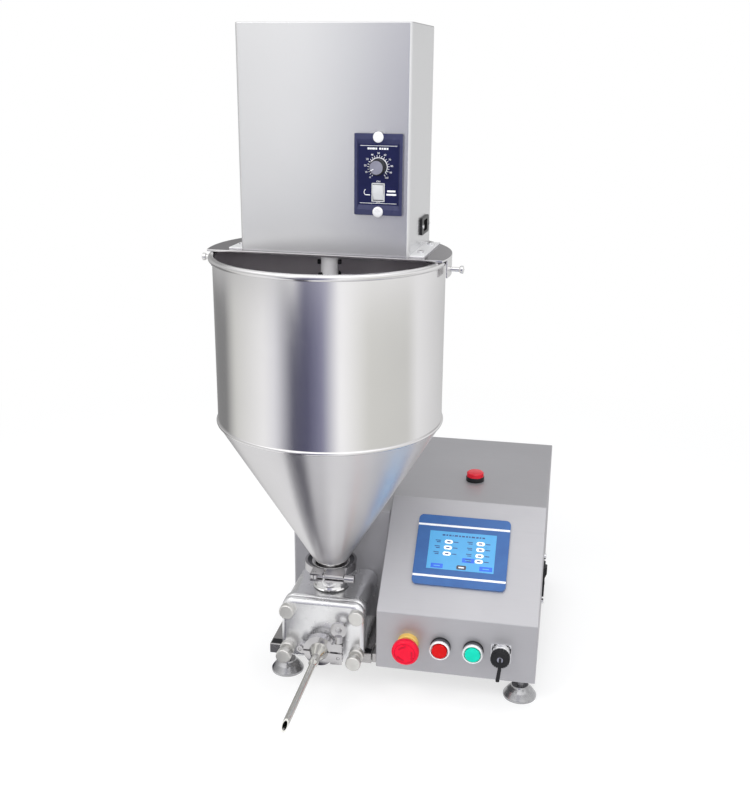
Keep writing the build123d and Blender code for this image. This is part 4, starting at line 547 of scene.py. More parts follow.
def photo_camera():
    """A camera with the place, turn and focal length that were fitted to points of the photograph."""
    level = Vector((-sin(CAMERA_YAW), cos(CAMERA_YAW), 0))
    aside = Vector((cos(CAMERA_YAW), sin(CAMERA_YAW), 0))
    upright = Vector((0, 0, 1))
    ahead = level * cos(CAMERA_PITCH) - upright * sin(CAMERA_PITCH)
    above = level * sin(CAMERA_PITCH) + upright * cos(CAMERA_PITCH)
    right = aside * cos(CAMERA_ROLL) + above * sin(CAMERA_ROLL)
    up = above * cos(CAMERA_ROLL) - aside * sin(CAMERA_ROLL)
    lens = bpy.data.cameras.new("photo camera")
    lens.sensor_fit = "HORIZONTAL"
    lens.sensor_width = SENSOR_WIDTH
    lens.lens = SENSOR_WIDTH * FOCAL_PIXELS / PHOTO_WIDTH
    camera = bpy.data.objects.new("photo camera", lens)
    scene.collection.objects.link(camera)
    turn = Matrix((right, up, -ahead)).transposed().to_4x4()
    camera.matrix_world = Matrix.Translation(CAMERA_PLACE) @ turn
    scene.camera = camera


photo_camera()


# Studio, in metres

FLOOR_EDGE = 7
FLOOR_GREY, SHADOW_GREY, SHADOW_GLOW = 0.8, 0.42, 0.62
FADE_START, FADE_END = 0.7, 1.6
WORLD_TINT, WORLD_STRENGTH = (0.95, 0.97, 1.0), 0.5


def stage_mesh(name, corners, faces, paint):
    """A plain piece of the studio, which isn't part of the machine."""
    mesh = bpy.data.meshes.new(name)
    mesh.from_pydata(corners, [], faces)
    mesh.materials.append(paint)
    obj = bpy.data.objects.new(name, mesh)
    scene.collection.objects.link(obj)
    return obj


def bare_material(name):
    """A material with no shader yet."""
    made = bpy.data.materials.new(name)
    made.use_nodes = True
    made.node_tree.nodes.remove(made.node_tree.nodes["Principled BSDF"])
    return made, made.node_tree, made.node_tree.nodes["Material Output"].inputs["Surface"]


def tinted(light, blue=0.0):
    """A grey with a little more or less blue in it."""
    return light, light, light + blue


def seen_rays(tree):
    """One where a camera, mirror or glass ray looks, nought for plain light."""
    path = tree.nodes.new("ShaderNodeLightPath")
    most = path.outputs["Is Camera Ray"]
    for label in ("Is Glossy Ray", "Is Transmission Ray"):
        most = combined(tree, "MAXIMUM", most, path.outputs[label])
    return most


def emission(tree, colour=(1, 1, 1)):
    """A shader that gives light of one colour."""
    glow = tree.nodes.new("ShaderNodeEmission")
    glow.inputs["Color"].default_value = (*colour, 1)
    return glow


def matt(tree, grey):
    """A plain matt shader."""
    flat = tree.nodes.new("ShaderNodeBsdfDiffuse")
    flat.inputs["Color"].default_value = (*tinted(grey), 1)
    return flat


def mixed(tree, mask, low, high):
    """A shader that goes from one to another by a mask."""
    mix = tree.nodes.new("ShaderNodeMixShader")
    for socket, source in zip(mix.inputs, (mask, low.outputs[0], high.outputs[0])):
        tree.links.new(source, socket)
    return mix


def studio_floor():
    """Pale floor: white to the eye, with the machine's soft shadow left on it."""
    made, tree, out = bare_material("pale floor")
    near = tree.nodes.new("ShaderNodeAddShader")
    tree.links.new(matt(tree, SHADOW_GREY).outputs[0], near.inputs[0])
    tree.links.new(emission(tree, tinted(SHADOW_GLOW)).outputs[0], near.inputs[1])
    length = tree.nodes.new("ShaderNodeVectorMath")
    length.operation = "LENGTH"
    tree.links.new(tree.nodes.new("ShaderNodeTexCoord").outputs["Object"], length.inputs[0])
    away = spread(tree, length.outputs["Value"], FADE_START, FADE_END)
    seen = mixed(tree, away, near, emission(tree))
    tree.links.new(mixed(tree, seen_rays(tree), matt(tree, FLOOR_GREY), seen).outputs[0], out)
    corners = [(x * FLOOR_EDGE, y * FLOOR_EDGE, 0) for x, y in ((-1, -1), (1, -1), (1, 1), (-1, 1))]
    stage_mesh("floor", corners, [(0, 1, 2, 3)], made)


def studio_world():
    """White to the eye, and a soft even light."""
    world = bpy.data.worlds.new("studio")
    scene.world = world
    world.use_nodes = True
    tree = world.node_tree
    soft = tree.nodes["Background"]
    soft.inputs["Color"].default_value = (*WORLD_TINT, 1)
    soft.inputs["Strength"].default_value = WORLD_STRENGTH
    white = tree.nodes.new("ShaderNodeBackground")
    white.inputs["Color"].default_value = (1, 1, 1, 1)
    pick = mixed(tree, seen_rays(tree), soft, white)
    tree.links.new(pick.outputs[0], tree.nodes["World Output"].inputs["Surface"])


# Light of the room round the hopper, as (degrees, light, added blue). Nought degrees is straight ahead of
# the hopper, and they grow towards the cabinet. The tables go from the floor close to the machine to the
# floor farther off, the wall at the machine's height, the wall above it and the ceiling.
NEAR_TONES = (
    (-180, 0.42), (-150, 0.5), (-115, 0.88), (-10, 0.98), (10, 0.95), (60, 0.68, 0.03), (100, 0.84),
    (150, 0.5), (180, 0.42),
)
FLOOR_TONES = (
    (-180, 0.55), (-135, 0.25), (-108, 0.25), (-90, 0.75, -0.03), (-52, 1.05), (-40, 0.9, 0.04),
    (-22, 0.1, 0.05), (-8, 0.1, 0.07), (6, 0.25, 0.12), (22, 1.15), (50, 0.75, -0.04), (92, 0.7, -0.03),
    (106, 0.95), (180, 0.55),
)
MIDDLE_TONES = (
    (-180, 0.62), (-170, 0.36), (-150, 0.36), (-120, 0.57), (-30, 0.74), (-20, 1.16), (-11, 0.3, 0.09),
    (12, 0.55, 0.1), (22, 1.1), (118, 0.95), (180, 0.62),
)
UPPER_TONES = (
    (-180, 0.3), (-120, 0.4), (-90, 0.85), (-22, 1.1), (0, 0.6, 0.07), (22, 1.1), (90, 0.85), (180, 0.3),
)
CEILING_TONES = (
    (-180, 0.95), (-105, 0.95), (-70, 1.6), (70, 1.6), (105, 0.95), (180, 0.95),
)
ROOM_RADIUS, ROOM_TURNS, FLOOR_GAP = 2.4, 180, 0.03
# Each row of the room: how far it is from the machine, its height and its tones
ROOM_ROWS = (
    (0.0, 0.002, NEAR_TONES), (0.45, 0.002, NEAR_TONES),
    (0.8, 0.002, FLOOR_TONES), (ROOM_RADIUS, 0.002, FLOOR_TONES), (ROOM_RADIUS, 0.10, FLOOR_TONES),
    (ROOM_RADIUS, 0.20, MIDDLE_TONES), (ROOM_RADIUS, 1.15, MIDDLE_TONES),
    (ROOM_RADIUS, 1.3, UPPER_TONES), (ROOM_RADIUS, 1.9, UPPER_TONES),
    (ROOM_RADIUS, 2.5, CEILING_TONES), (1.6, 3.2, CEILING_TONES), (0.3, 3.4, CEILING_TONES),
)
# The dark strip on the floor: its corners in millimetres from the cabinet's corner, its tone and its height
CARD_CORNERS = (
    (-340, -600), (-190, -600), (-160, -300), (-190, -240), (-150, -112), (-66, -100), (-66, -20),
    (-165, -20), (-165, 60), (-260, 60),
)
CARD_TONE, CARD_HEIGHT = (0.02, 0.018, 0.04), 0.004
# Each soft light: its name, its place, what it looks at, its size and its power in watts
SOFT_LIGHTS = (
    ("key light", (-1.5, -1.7, 2.4), (0, 0, 0.4), 1.8, 36),
    ("fill light", (1.9, -1.2, 1.6), (0, 0, 0.4), 1.6, 12),
    ("front light", (0.2, -2.6, 1.15), (-0.05, 0, 0.6), 1.0, 28),
    ("top light", (0.2, 0.6, 2.8), (0, 0, 0.4), 1.6, 22),
)


def room_tone(table, degrees):
    """Tone of the room in one direction, between the two stops that it lies between."""
    for low, high in zip(table, table[1:]):
        if low[0] <= degrees <= high[0]:
            share = (degrees - low[0]) / (high[0] - low[0])
            return [a + (b - a) * share for a, b in zip(tinted(*low[1:]), tinted(*high[1:]))]
    return tinted(*table[-1][1:])


def only_in_mirrors(obj):
    """Hide a piece of the studio from the camera and from plain light."""
    obj.visible_camera = obj.visible_diffuse = obj.visible_shadow = obj.visible_transmission = False


def mirrored_room(low, high):
    """Dark and bright panels that only mirrors see, on the floor round a box and upright."""
    centre = CORNER + Vector((*HOPPER_AXIS, 0)) * MM
    corners, tones, faces = [], [], []
    for k in range(ROOM_TURNS + 1):
        degrees = -180 + 360 * k / ROOM_TURNS
        a = radians(degrees)
        away = Vector((sin(a), -cos(a), 0))
        steps = []
        for axis in (0, 1):
            edge = high[axis] if away[axis] > 0 else low[axis]
            if abs(away[axis]) > 1e-6:
                steps.append((edge - centre[axis]) / away[axis])
        inner = min(steps) + FLOOR_GAP
        for beyond, height, table in ROOM_ROWS:
            reach = min(inner + beyond, ROOM_RADIUS)
            corners.append((centre.x + away.x * reach, centre.y + away.y * reach, height))
            tones.append([*room_tone(table, degrees), 1])
    rows = len(ROOM_ROWS)
    for k in range(ROOM_TURNS):
        for r in range(rows - 1):
            here, there = k * rows + r, (k + 1) * rows + r
            faces.append((here, there, there + 1, here + 1))
    made, tree, out = bare_material("room seen in mirrors")
    glow = emission(tree)
    colour = tree.nodes.new("ShaderNodeAttribute")
    colour.attribute_name = "tone"
    tree.links.new(colour.outputs["Color"], glow.inputs["Color"])
    tree.links.new(glow.outputs[0], out)
    obj = stage_mesh("mirrored_room", corners, faces, made)
    layer = obj.data.attributes.new("tone", "FLOAT_COLOR", "POINT")
    for corner_tone, tone in zip(layer.data, tones):
        corner_tone.color = tone
    only_in_mirrors(obj)


def dark_card():
    """A dark strip lying on the floor left of the nozzle, which only mirrors see."""
    made, tree, out = bare_material("dark card")
    tree.links.new(emission(tree, CARD_TONE).outputs[0], out)
    corners = [at(x, y, 0).translation.xy.to_tuple() + (CARD_HEIGHT,) for x, y in CARD_CORNERS]
    only_in_mirrors(stage_mesh("dark_card", corners, [range(len(corners))], made))


def soft_light(name, place, aim, size, energy):
    """A round soft light that mirrors don't show."""
    lamp = bpy.data.lights.new(name, "AREA")
    lamp.shape = "DISK"
    lamp.size = size
    lamp.energy = energy
    obj = bpy.data.objects.new(name, lamp)
    scene.collection.objects.link(obj)
    turn = (Vector(aim) - Vector(place)).to_track_quat("-Z", "Y").to_matrix().to_4x4()
    obj.matrix_world = Matrix.Translation(place) @ turn
    obj.visible_glossy = False


studio_floor()
studio_world()
mirrored_room(*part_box("levelling_feet"))
dark_card()
for light in SOFT_LIGHTS:
    soft_light(*light)


# Repeated things, made by rule


def rule(name, inputs):
    """An empty geometry node tree with named inputs, for a shape that follows a rule."""
    tree = bpy.data.node_groups.new(name, "GeometryNodeTree")
    tree.interface.new_socket("Geometry", in_out="INPUT", socket_type="NodeSocketGeometry")
    for label, kind, value in inputs:
        tree.interface.new_socket(label, in_out="INPUT", socket_type=kind).default_value = value
    tree.interface.new_socket("Paint", in_out="INPUT", socket_type="NodeSocketMaterial")
    tree.interface.new_socket("Geometry", in_out="OUTPUT", socket_type="NodeSocketGeometry")
    return tree, tree.nodes.new("NodeGroupInput"), tree.nodes.new("NodeGroupOutput")


def wired(tree, kind, links=(), **values):
    """A geometry node with its inputs linked or set."""
    node = tree.nodes.new(kind)
    for label, source in links:
        tree.links.new(source, node.inputs[label])
    for label, value in values.items():
        node.inputs[label.replace("_", " ")].default_value = value
    return node


def vector_of(tree, x=0.0, y=0.0, z=0.0):
    """A vector put together from three values."""
    node = tree.nodes.new("ShaderNodeCombineXYZ")
    for socket, value in zip(node.inputs, (x, y, z)):
        feed(tree, socket, value)
    return node.outputs["Vector"]


def moved(tree, geometry, x=0.0, y=0.0, z=0.0):
    """A shape moved along its axes."""
    node = wired(tree, "GeometryNodeTransform", (
        ("Geometry", geometry), ("Translation", vector_of(tree, x, y, z))))
    return node.outputs["Geometry"]


def finish_rule(tree, geometry, start, end):
    """Realize the copies and give them their paint."""
    solid = wired(tree, "GeometryNodeRealizeInstances", (("Geometry", geometry),))
    paint = wired(tree, "GeometryNodeSetMaterial", (
        ("Geometry", solid.outputs["Geometry"]), ("Material", start.outputs["Paint"])))
    tree.links.new(paint.outputs["Geometry"], end.inputs["Geometry"])
    return tree


def ring_rule():
    """Small bars set round a ring: ticks of a dial, ribs of a grip."""
    tree, start, end = rule("ring of bars", (
        ("Count", "NodeSocketInt", 11), ("Radius", "NodeSocketFloat", 0.01),
        ("Start", "NodeSocketFloat", 0.0), ("Sweep", "NodeSocketFloat", 6.28),
        ("Bar", "NodeSocketVector", (0.001, 0.001, 0.001)), ("Height", "NodeSocketFloat", 0.0)))
    given = start.outputs
    spots = wired(tree, "GeometryNodeMeshLine", (("Count", given["Count"]),))
    bar = wired(tree, "GeometryNodeMeshCube", (("Size", given["Bar"]),))
    step = combined(tree, "DIVIDE", given["Sweep"], given["Count"])
    index = tree.nodes.new("GeometryNodeInputIndex").outputs["Index"]
    angle = combined(tree, "ADD", given["Start"], combined(tree, "MULTIPLY", step, index))
    still = wired(tree, "GeometryNodeSetPosition", (
        ("Geometry", spots.outputs["Mesh"]), ("Position", vector_of(tree))))
    copies = wired(tree, "GeometryNodeInstanceOnPoints", (
        ("Points", still.outputs["Geometry"]),
        ("Instance", moved(tree, bar.outputs["Mesh"], given["Radius"], 0.0, given["Height"])),
        ("Rotation", vector_of(tree, 0.0, 0.0, angle))))
    return finish_rule(tree, copies.outputs["Instances"], start, end)


SCREW_SIDES = 28


def screw_rule():
    """Round screw heads with a cross recess, one at each point of the mesh they grow on."""
    tree, start, end = rule("screw heads", (
        ("Radius", "NodeSocketFloat", 0.0045), ("Height", "NodeSocketFloat", 0.003)))
    given = start.outputs

    def share(label, part):
        return combined(tree, "MULTIPLY", given[label], part)

    head = wired(tree, "GeometryNodeMeshCylinder", (
        ("Radius", given["Radius"]), ("Depth", given["Height"])), Vertices=SCREW_SIDES)
    crown = wired(tree, "GeometryNodeMeshCone", (
        ("Radius Top", share("Radius", 0.72)), ("Radius Bottom", given["Radius"]),
        ("Depth", share("Height", 0.34))), Vertices=SCREW_SIDES)
    both, cut = (tree.nodes.new("GeometryNodeMeshBoolean") for _ in range(2))
    both.operation, cut.operation = "UNION", "DIFFERENCE"
    both.solver = cut.solver = "EXACT"
    for shape in (head.outputs["Mesh"], moved(tree, crown.outputs["Mesh"], z=share("Height", 0.5))):
        tree.links.new(shape, both.inputs["Mesh 2"])
    tree.links.new(both.outputs["Mesh"], cut.inputs["Mesh 1"])
    long, thin = share("Radius", 1.1), share("Radius", 0.26)
    for x, y in ((long, thin), (thin, long)):
        bar = wired(tree, "GeometryNodeMeshCube", (("Size", vector_of(tree, x, y, given["Height"])),))
        tree.links.new(moved(tree, bar.outputs["Mesh"], z=share("Height", 0.9)), cut.inputs["Mesh 2"])
    copies = wired(tree, "GeometryNodeInstanceOnPoints", (
        ("Points", given["Geometry"]),
        ("Instance", moved(tree, cut.outputs["Mesh"], z=share("Height", 0.5)))))
    return finish_rule(tree, copies.outputs["Instances"], start, end)


def vent_rule():
    """A plate with a column of slots whose corners are cut off."""
    tree, start, end = rule("vented plate", (
        ("Width", "NodeSocketFloat", 0.2), ("Height", "NodeSocketFloat", 0.2),
        ("Thick", "NodeSocketFloat", 0.0015), ("Slot Width", "NodeSocketFloat", 0.1),
        ("Slot Height", "NodeSocketFloat", 0.005), ("Count", "NodeSocketInt", 9),
        ("Pitch", "NodeSocketFloat", 0.014)))
    given = start.outputs
    plate = wired(tree, "GeometryNodeCurvePrimitiveQuadrilateral", (
        ("Width", given["Width"]), ("Height", given["Height"])))
    slot_shape = wired(tree, "GeometryNodeCurvePrimitiveQuadrilateral", (
        ("Width", given["Slot Width"]), ("Height", given["Slot Height"])))
    soft = wired(tree, "GeometryNodeFilletCurve", (
        ("Curve", slot_shape.outputs["Curve"]),
        ("Radius", combined(tree, "MULTIPLY", given["Slot Height"], 0.49))))
    soft.mode = "POLY"
    span_up = combined(tree, "MULTIPLY", combined(tree, "SUBTRACT", given["Count"], 1.0), given["Pitch"])
    spots = wired(tree, "GeometryNodeMeshLine", (
        ("Count", given["Count"]), ("Offset", vector_of(tree, 0.0, given["Pitch"], 0.0)),
        ("Start Location", vector_of(tree, 0.0, combined(tree, "MULTIPLY", span_up, -0.5), 0.0))))
    slots = wired(tree, "GeometryNodeInstanceOnPoints", (
        ("Points", spots.outputs["Mesh"]), ("Instance", soft.outputs["Curve"])))
    lines = wired(tree, "GeometryNodeRealizeInstances", (("Geometry", slots.outputs["Instances"]),))
    joined = tree.nodes.new("GeometryNodeJoinGeometry")
    for shape in (plate.outputs["Curve"], lines.outputs["Geometry"]):
        tree.links.new(shape, joined.inputs["Geometry"])
    face = wired(tree, "GeometryNodeFillCurve", (("Curve", joined.outputs["Geometry"]),))
    drawn = wired(tree, "GeometryNodeExtrudeMesh", (
        ("Mesh", face.outputs["Mesh"]), ("Offset", vector_of(tree, 0.0, 0.0, 1.0)),
        ("Offset Scale", given["Thick"])))
    drawn.inputs["Individual"].default_value = False
    back = wired(tree, "GeometryNodeFlipFaces", (("Mesh", face.outputs["Mesh"]),))
    closed = tree.nodes.new("GeometryNodeJoinGeometry")
    for shape in (drawn.outputs["Mesh"], back.outputs["Mesh"]):
        tree.links.new(shape, closed.inputs["Geometry"])
    whole = wired(tree, "GeometryNodeMergeByDistance", (("Geometry", closed.outputs["Geometry"]),),
                  Distance=1e-6)
    return finish_rule(tree, whole.outputs["Geometry"], start, end)


RING_OF_BARS = ring_rule()
SCREW_HEADS = screw_rule()
VENTED_PLATE = vent_rule()


def grown(tree, paint, points=((0, 0, 0),), **values):
    """A solid grown by one of the rules on a few points in millimetres."""
    mesh = bpy.data.meshes.new("grown")
    mesh.from_pydata([Vector(p) * MM for p in points], [], [])
    obj = bpy.data.objects.new("grown", mesh)
    scene.collection.objects.link(obj)
    grower = obj.modifiers.new("rule", "NODES")
    grower.node_group = tree
    for item in tree.interface.items_tree:
        if item.in_out == "INPUT" and item.name.replace(" ", "_") in values:
            grower[item.identifier] = values[item.name.replace(" ", "_")]
        elif item.in_out == "INPUT" and item.name == "Paint":
            grower[item.identifier] = paint
    settle(obj)
    bm = bmesh.new()
    bm.from_mesh(obj.data)
    bmesh.ops.remove_doubles(bm, verts=bm.verts, dist=1e-6)
    bmesh.ops.recalc_face_normals(bm, faces=bm.faces)
    mesh = obj.data
    bpy.data.objects.remove(obj)
    bpy.data.meshes.remove(mesh)
    return bm


# Pieces of the machine


def screws(name, spots, radius, height, body, place, stands_for=(), paint=chrome):
    """Screw heads of one size, in millimetres, at a few spots."""
    heads = grown(SCREW_HEADS, paint, spots, Radius=radius * MM, Height=height * MM)
    piece(name, heads, paint, body, stands_for, place)


def rod(radius, low, high, x=0, y=0, rings=40):
    """A plain round bar, used inside larger pieces and to cut holes."""
    return add(bmesh.new(), turned([(0, low), (radius, low), (radius, high), (0, high)], rings),
               Matrix.Translation((x * MM, y * MM, 0)))


def opened(bm, *ways):
    """Take away the faces of a solid that look one of the given ways."""
    gone = [f for f in bm.faces if any(f.normal.dot(Vector(way)) > 0.99 for way in ways)]
    bmesh.ops.delete(bm, geom=gone, context="FACES")
    return bm


def arc(x, y, radius, first, last, steps=8):
    """Points along part of a circle."""
    return [(x + radius * cos(radians(first + (last - first) * k / steps)),
             y + radius * sin(radians(first + (last - first) * k / steps))) for k in range(steps + 1)]


# Cases that pass through the sheet walls, width by height, and the gap round them
MAINS_CASE, MIXER_CASE, CONTROLLER_CASE = (27, 46), (34, 20), (36, 84)
CASE_GAP = 0.4
ROCKER_HOLE = (14.6, 21.4)


def opening(width, height):
    """A cut through a sheet wall for a case of this size."""
    return prism(rect(width + CASE_GAP, height + CASE_GAP), -6, 6)


CONTROL_Z = 45
ESTOP_X, STOP_X, START_X, PEDAL_X = 48, 96, 144, 184
BARREL_RADIUS, BARREL_BACK = 11, -52
PANEL_HOLE = 11.3


def on_slope(x, up, out=0):
    """A place on the cabinet's sloped face, with its own axes right, up the slope and outwards."""
    slope = at(0, 0, FRONT_HEIGHT, Matrix.Rotation(SLOPE_ANGLE, 4, "X"))
    return slope @ Matrix.Translation(Vector((x, up, out)) * MM)


def cabinet():
    """The folded cabinet, its vented back panel and that panel's screws."""
    high = span("control_cabinet")[1]
    side_view = [(0, 0), (0, FRONT_HEIGHT), (SLOPE_RUN, high.z), (high.y, high.z), (high.y, 0)]
    shell = opened(prism(side_view, 0, high.x), (0, -1, 0), (1, 0, 0))
    holes = bmesh.new()
    for x in (ESTOP_X, STOP_X, START_X, PEDAL_X):
        add(holes, rod(PANEL_HOLE, -6, 6), at(x, 0, CONTROL_Z, FACING_FRONT))
    near, far = span("mains_inlet")
    inlet = at(high.x, (near.y + far.y) / 2, (near.z + far.z) / 2, FACING_RIGHT)
    add(holes, opening(*MAINS_CASE), inlet)
    piece("cabinet_shell", shell, cabinet_steel, "machine", ("control_cabinet",),
          at(0, 0, 0, FACING_RIGHT), edge=1.6, wall=1.5, holes=holes)
    low, high = span("cabinet_back_panel")
    vents = grown(VENTED_PLATE, cabinet_steel, Width=(high.x - low.x) * MM, Height=(high.z - low.z) * MM,
                  Thick=(high.y - low.y) * MM, Slot_Width=0.12, Slot_Height=0.005, Count=9, Pitch=0.014)
    middle = (low + high) / 2
    piece("vented_back", vents, cabinet_steel, "machine", ("cabinet_back_panel",),
          at(middle.x, low.y, middle.z, FACING_BACK))
    spots = [(x * 108, z * 100.5, 0) for x in (-1, 1) for z in (-1, 0, 1)]
    screws("back_screws", spots, 3.5, 2.2, "machine", at(middle.x, high.y, middle.z, FACING_BACK))


def drive_side():
    """The housing behind the pump, the tray under it and a black strip on the tray's top, painted shadow
    behind its front lip.
    """
    low, high = span("drive_housing")
    width, depth = high.x - low.x, high.y - low.y
    shell = opened(prism(rounded(oblong(width, depth, 3)), 0, high.z - low.z), (0, 0, -1))
    pump_way = prism(rounded(oblong(104, 78, 20)), -10, 10)
    pump_way.transform(at(-89.5, low.y, 58, FACING_FRONT))
    piece("housing_shell", shell, cabinet_steel, "machine", ("drive_housing",),
          at((low.x + high.x) / 2, (low.y + high.y) / 2, low.z), edge=2.5, wall=1.5, holes=pump_way)
    low, high = span("pump_tray")
    gap = 8
    tray = opened(prism(rect(high.x - low.x - gap, high.y - low.y), 0, high.z - low.z), (0, 0, -1))
    add(tray, prism(rect(gap - 1, 30), 0, high.z - low.z - 0.5),
        Matrix.Translation(Vector(((high.x - low.x) / 2, -(high.y - low.y) / 2 + 18, 0)) * MM))
    piece("tray_sheet", tray, tray_steel, "machine", ("pump_tray",),
          at((low.x + high.x - gap) / 2, (low.y + high.y) / 2, low.z), edge=1.2, wall=1.2)
    # A black strip on the tray's top near its front, painted shadow behind the front lip
    strip = round_edges(prism(rect(high.x - low.x - gap - 3, 12), 0, 0.8), 0.5, lambda x, y, z: z > 0.7, 2)
    piece("tray_front_strip", strip, black_plastic, "machine", (),
          at((low.x + high.x - gap) / 2, low.y + 9, high.z))


FOOT_PLACES = ((213, 26, 7.5), (213, 386, 7.5), (-143, 26, 13.5), (-143, 386, 13.5))


def feet():
    """Bell shaped levelling feet with their studs and lock nuts."""
    low = span("levelling_feet")[0].z
    bells = bmesh.new()
    for x, y, top in FOOT_PLACES:
        outline = [(0, low), (24.5, low, 0.8), (24.5, low + 3.6, 1.4), (18.5, low + 12, 6),
                   (13.5, low + 17, 3), (12.4, low + 19.6, 1), (5, low + 20), (5, top), (0, top)]
        add(bells, turned(rounded(outline, False)), at(x, y, 0))
        # The lock nut is dark chrome, painted shade under the cabinet
        add(bells, prism(arc(0, 0, 11, 0, 300, 5), top - 8, top), at(x, y, 0), 1)
    piece("bell_feet", bells, (foot_steel, chrome_painted_shade), "machine", ("levelling_feet",),
          edge=0.3, steps=2, sharp=50)


PANEL_X, PANEL_UP = 115, 101.5
STRIPES = (39, -41.4)
TITLE_WIDTHS = (4.2, 2.6, 3.4, 1.6, 5.0, 2.8, 4.4, 3.0, 2.2, 5.2, 3.6, 2.4, 4.0)


def touch_panel():
    """The touch panel's frame with two stripes, and its screen with fields, buttons and plain label bars."""
    frame_film = prism(rounded(oblong(138, 110, 7)), 0, 5)
    for up in STRIPES:
        add(frame_film, prism(rect(137.4, 3.2), 4.9, 5.06), Matrix.Translation((0, up * MM, 0)), 1)
    piece("touch_frame", frame_film, (touch_blue, print_white), "machine", ("touch_panel",),
          on_slope(PANEL_X, PANEL_UP), edge=0.9, sharp=60,
          holes=add(bmesh.new(), prism(rect(100, 60), 3.4, 6), on_slope(PANEL_X, PANEL_UP)))
    glass = prism(rect(99.7, 59.7), 3.5, 5)
    paints = (screen_blue, screen_white, screen_button, screen_dark, screen_ink)
    blue, white, button, dark, ink = range(len(paints))

    def field(u, v, width, height, radius, paint, rise=0.05):
        add(glass, prism(rounded(oblong(width, height, radius)), 4.95, 5 + rise),
            Matrix.Translation(((u - 50) * MM, (v - 30) * MM, 0)), paint)

    for u, v in ((29.5, 43.8), (29, 34.6), (28.3, 25), (77, 44.6), (77.3, 35.2), (77, 25.6), (76.8, 16.9)):
        field(u, v, 12, 6, 2.9, white)
        field(u, v, 5.4, 2.2, 0, ink, 0.08)
        for du, dv, width in ((-16, 1.2, 8), (-15, -1.4, 6), (11, 0, 7)):
            field(u + du, v + dv, width, 1.3, 0, ink)
    for u, v, width in ((15.6, 5.2, 18), (88, 6, 19), (61, 16.9, 18)):
        field(u, v, width, 7, 0.6, button)
        field(u, v, width * 0.5, 1.4, 0, blue, 0.08)
    field(52, 5.2, 14.5, 6.6, 2.2, dark)
    field(52, 5.2, 8, 1.6, 0, white, 0.08)
    u = 19
    for width in TITLE_WIDTHS:
        field(u + width / 2, 54, width, 2.3, 0, ink)
        u += width + 1.6
    piece("lit_screen", glass, paints, "machine", ("touch_screen",),
          on_slope(PANEL_X, PANEL_UP))


def emergency_stop():
    """Yellow collar and red mushroom head with its ring of arrows."""
    front = at(ESTOP_X, 0, CONTROL_Z, FACING_FRONT)
    collar = [(6.4, BARREL_BACK), (BARREL_RADIUS, BARREL_BACK), (BARREL_RADIUS, 0), (16, 0), (16, 8.6, 0.8),
              (15, 10, 0.8), (6.4, 10)]
    piece("yellow_collar", turned(rounded(collar), closed=True), estop_yellow, "machine", ("estop_collar",),
          front)
    head = [(6.05, 19), (17, 19, 1), (20, 21, 2.2), (20, 28.4, 3.4), (16.4, 31.3, 1), (15.6, 30.7, 0.3),
            (14.8, 30.7, 0.3), (14.2, 31.5, 0.6), (7, 32, 3), (0, 32), (0, 27.3), (6.05, 27.3)]
    mushroom = turned(rounded(head), 96, True)
    # The arrows and the ring in the groove get the darker red, painted shade of their relief
    for k in range(3):
        turn = Matrix.Rotation(radians(120 * k), 4, "Z")
        bar = prism(arc(0, 0, 11.6, -26, 26, 8) + arc(0, 0, 9.6, 26, -26, 8), 31.6, 32.15)
        add(mushroom, bar, turn, 1)
        tip = prism([(8.2, -5.2), (13, -5.2), (10.6, -8.2)], 31.5, 32.1)
        add(mushroom, tip, turn, 1)
    groove = [(14.7, 30.4), (15.7, 30.4), (15.7, 31.0, 0.2), (14.7, 31.0, 0.2)]
    add(mushroom, turned(rounded(groove), 96, True), paint=1)
    piece("mushroom_head", mushroom, (estop_red, estop_painted_shade), "estop_knob", ("estop_head",),
          front)


def push_buttons():
    """Chrome bezels of the stop and start buttons, and their caps."""
    bezels = bmesh.new()
    for x, cap_node, body, paint, slot in (
            (STOP_X, "stop_button_cap", "stop_button", button_red, "button_red"),
            (START_X, "start_button_cap", "start_button", button_green, "button_green")):
        front = at(x, 0, CONTROL_Z, FACING_FRONT)
        ring = [(4.3, BARREL_BACK), (BARREL_RADIUS, BARREL_BACK), (BARREL_RADIUS, 0), (13.8, 0), (13.8, 9.4),
                (15, 10, 0.5), (15, 13.2, 0.9), (13.6, 15, 0.9), (12.5, 14), (12.5, 4.6), (4.3, 4.6)]
        add(bezels, turned(rounded(ring), closed=True), front)
        gasket = [(13.4, 0), (15, 0), (15, 2.4, 0.4), (13.4, 2.4)]
        add(bezels, turned(rounded(gasket), closed=True), front, 1)
        # A ring of dark chrome on the bezel's side, painted shade at the back of the bezel
        painted_shade_ring = [(13.6, 2.4), (14.4, 2.4), (14.4, 9.3, 0.3), (13.6, 9.3)]
        add(bezels, turned(rounded(painted_shade_ring), closed=True), front, 2)
        cap = [(0, -6), (4, -6), (4, 8), (11.2, 8), (11.2, 15.2, 0.9), (10.2, 15.7, 0.6), (0, 16)]
        piece(cap_node + "_lens", turned(rounded(cap, False)), paint, body, (cap_node,), front)
    piece("button_bezels", bezels, (bezel_chrome, black_plastic, chrome_painted_shade), "machine", ("button_bodies",))


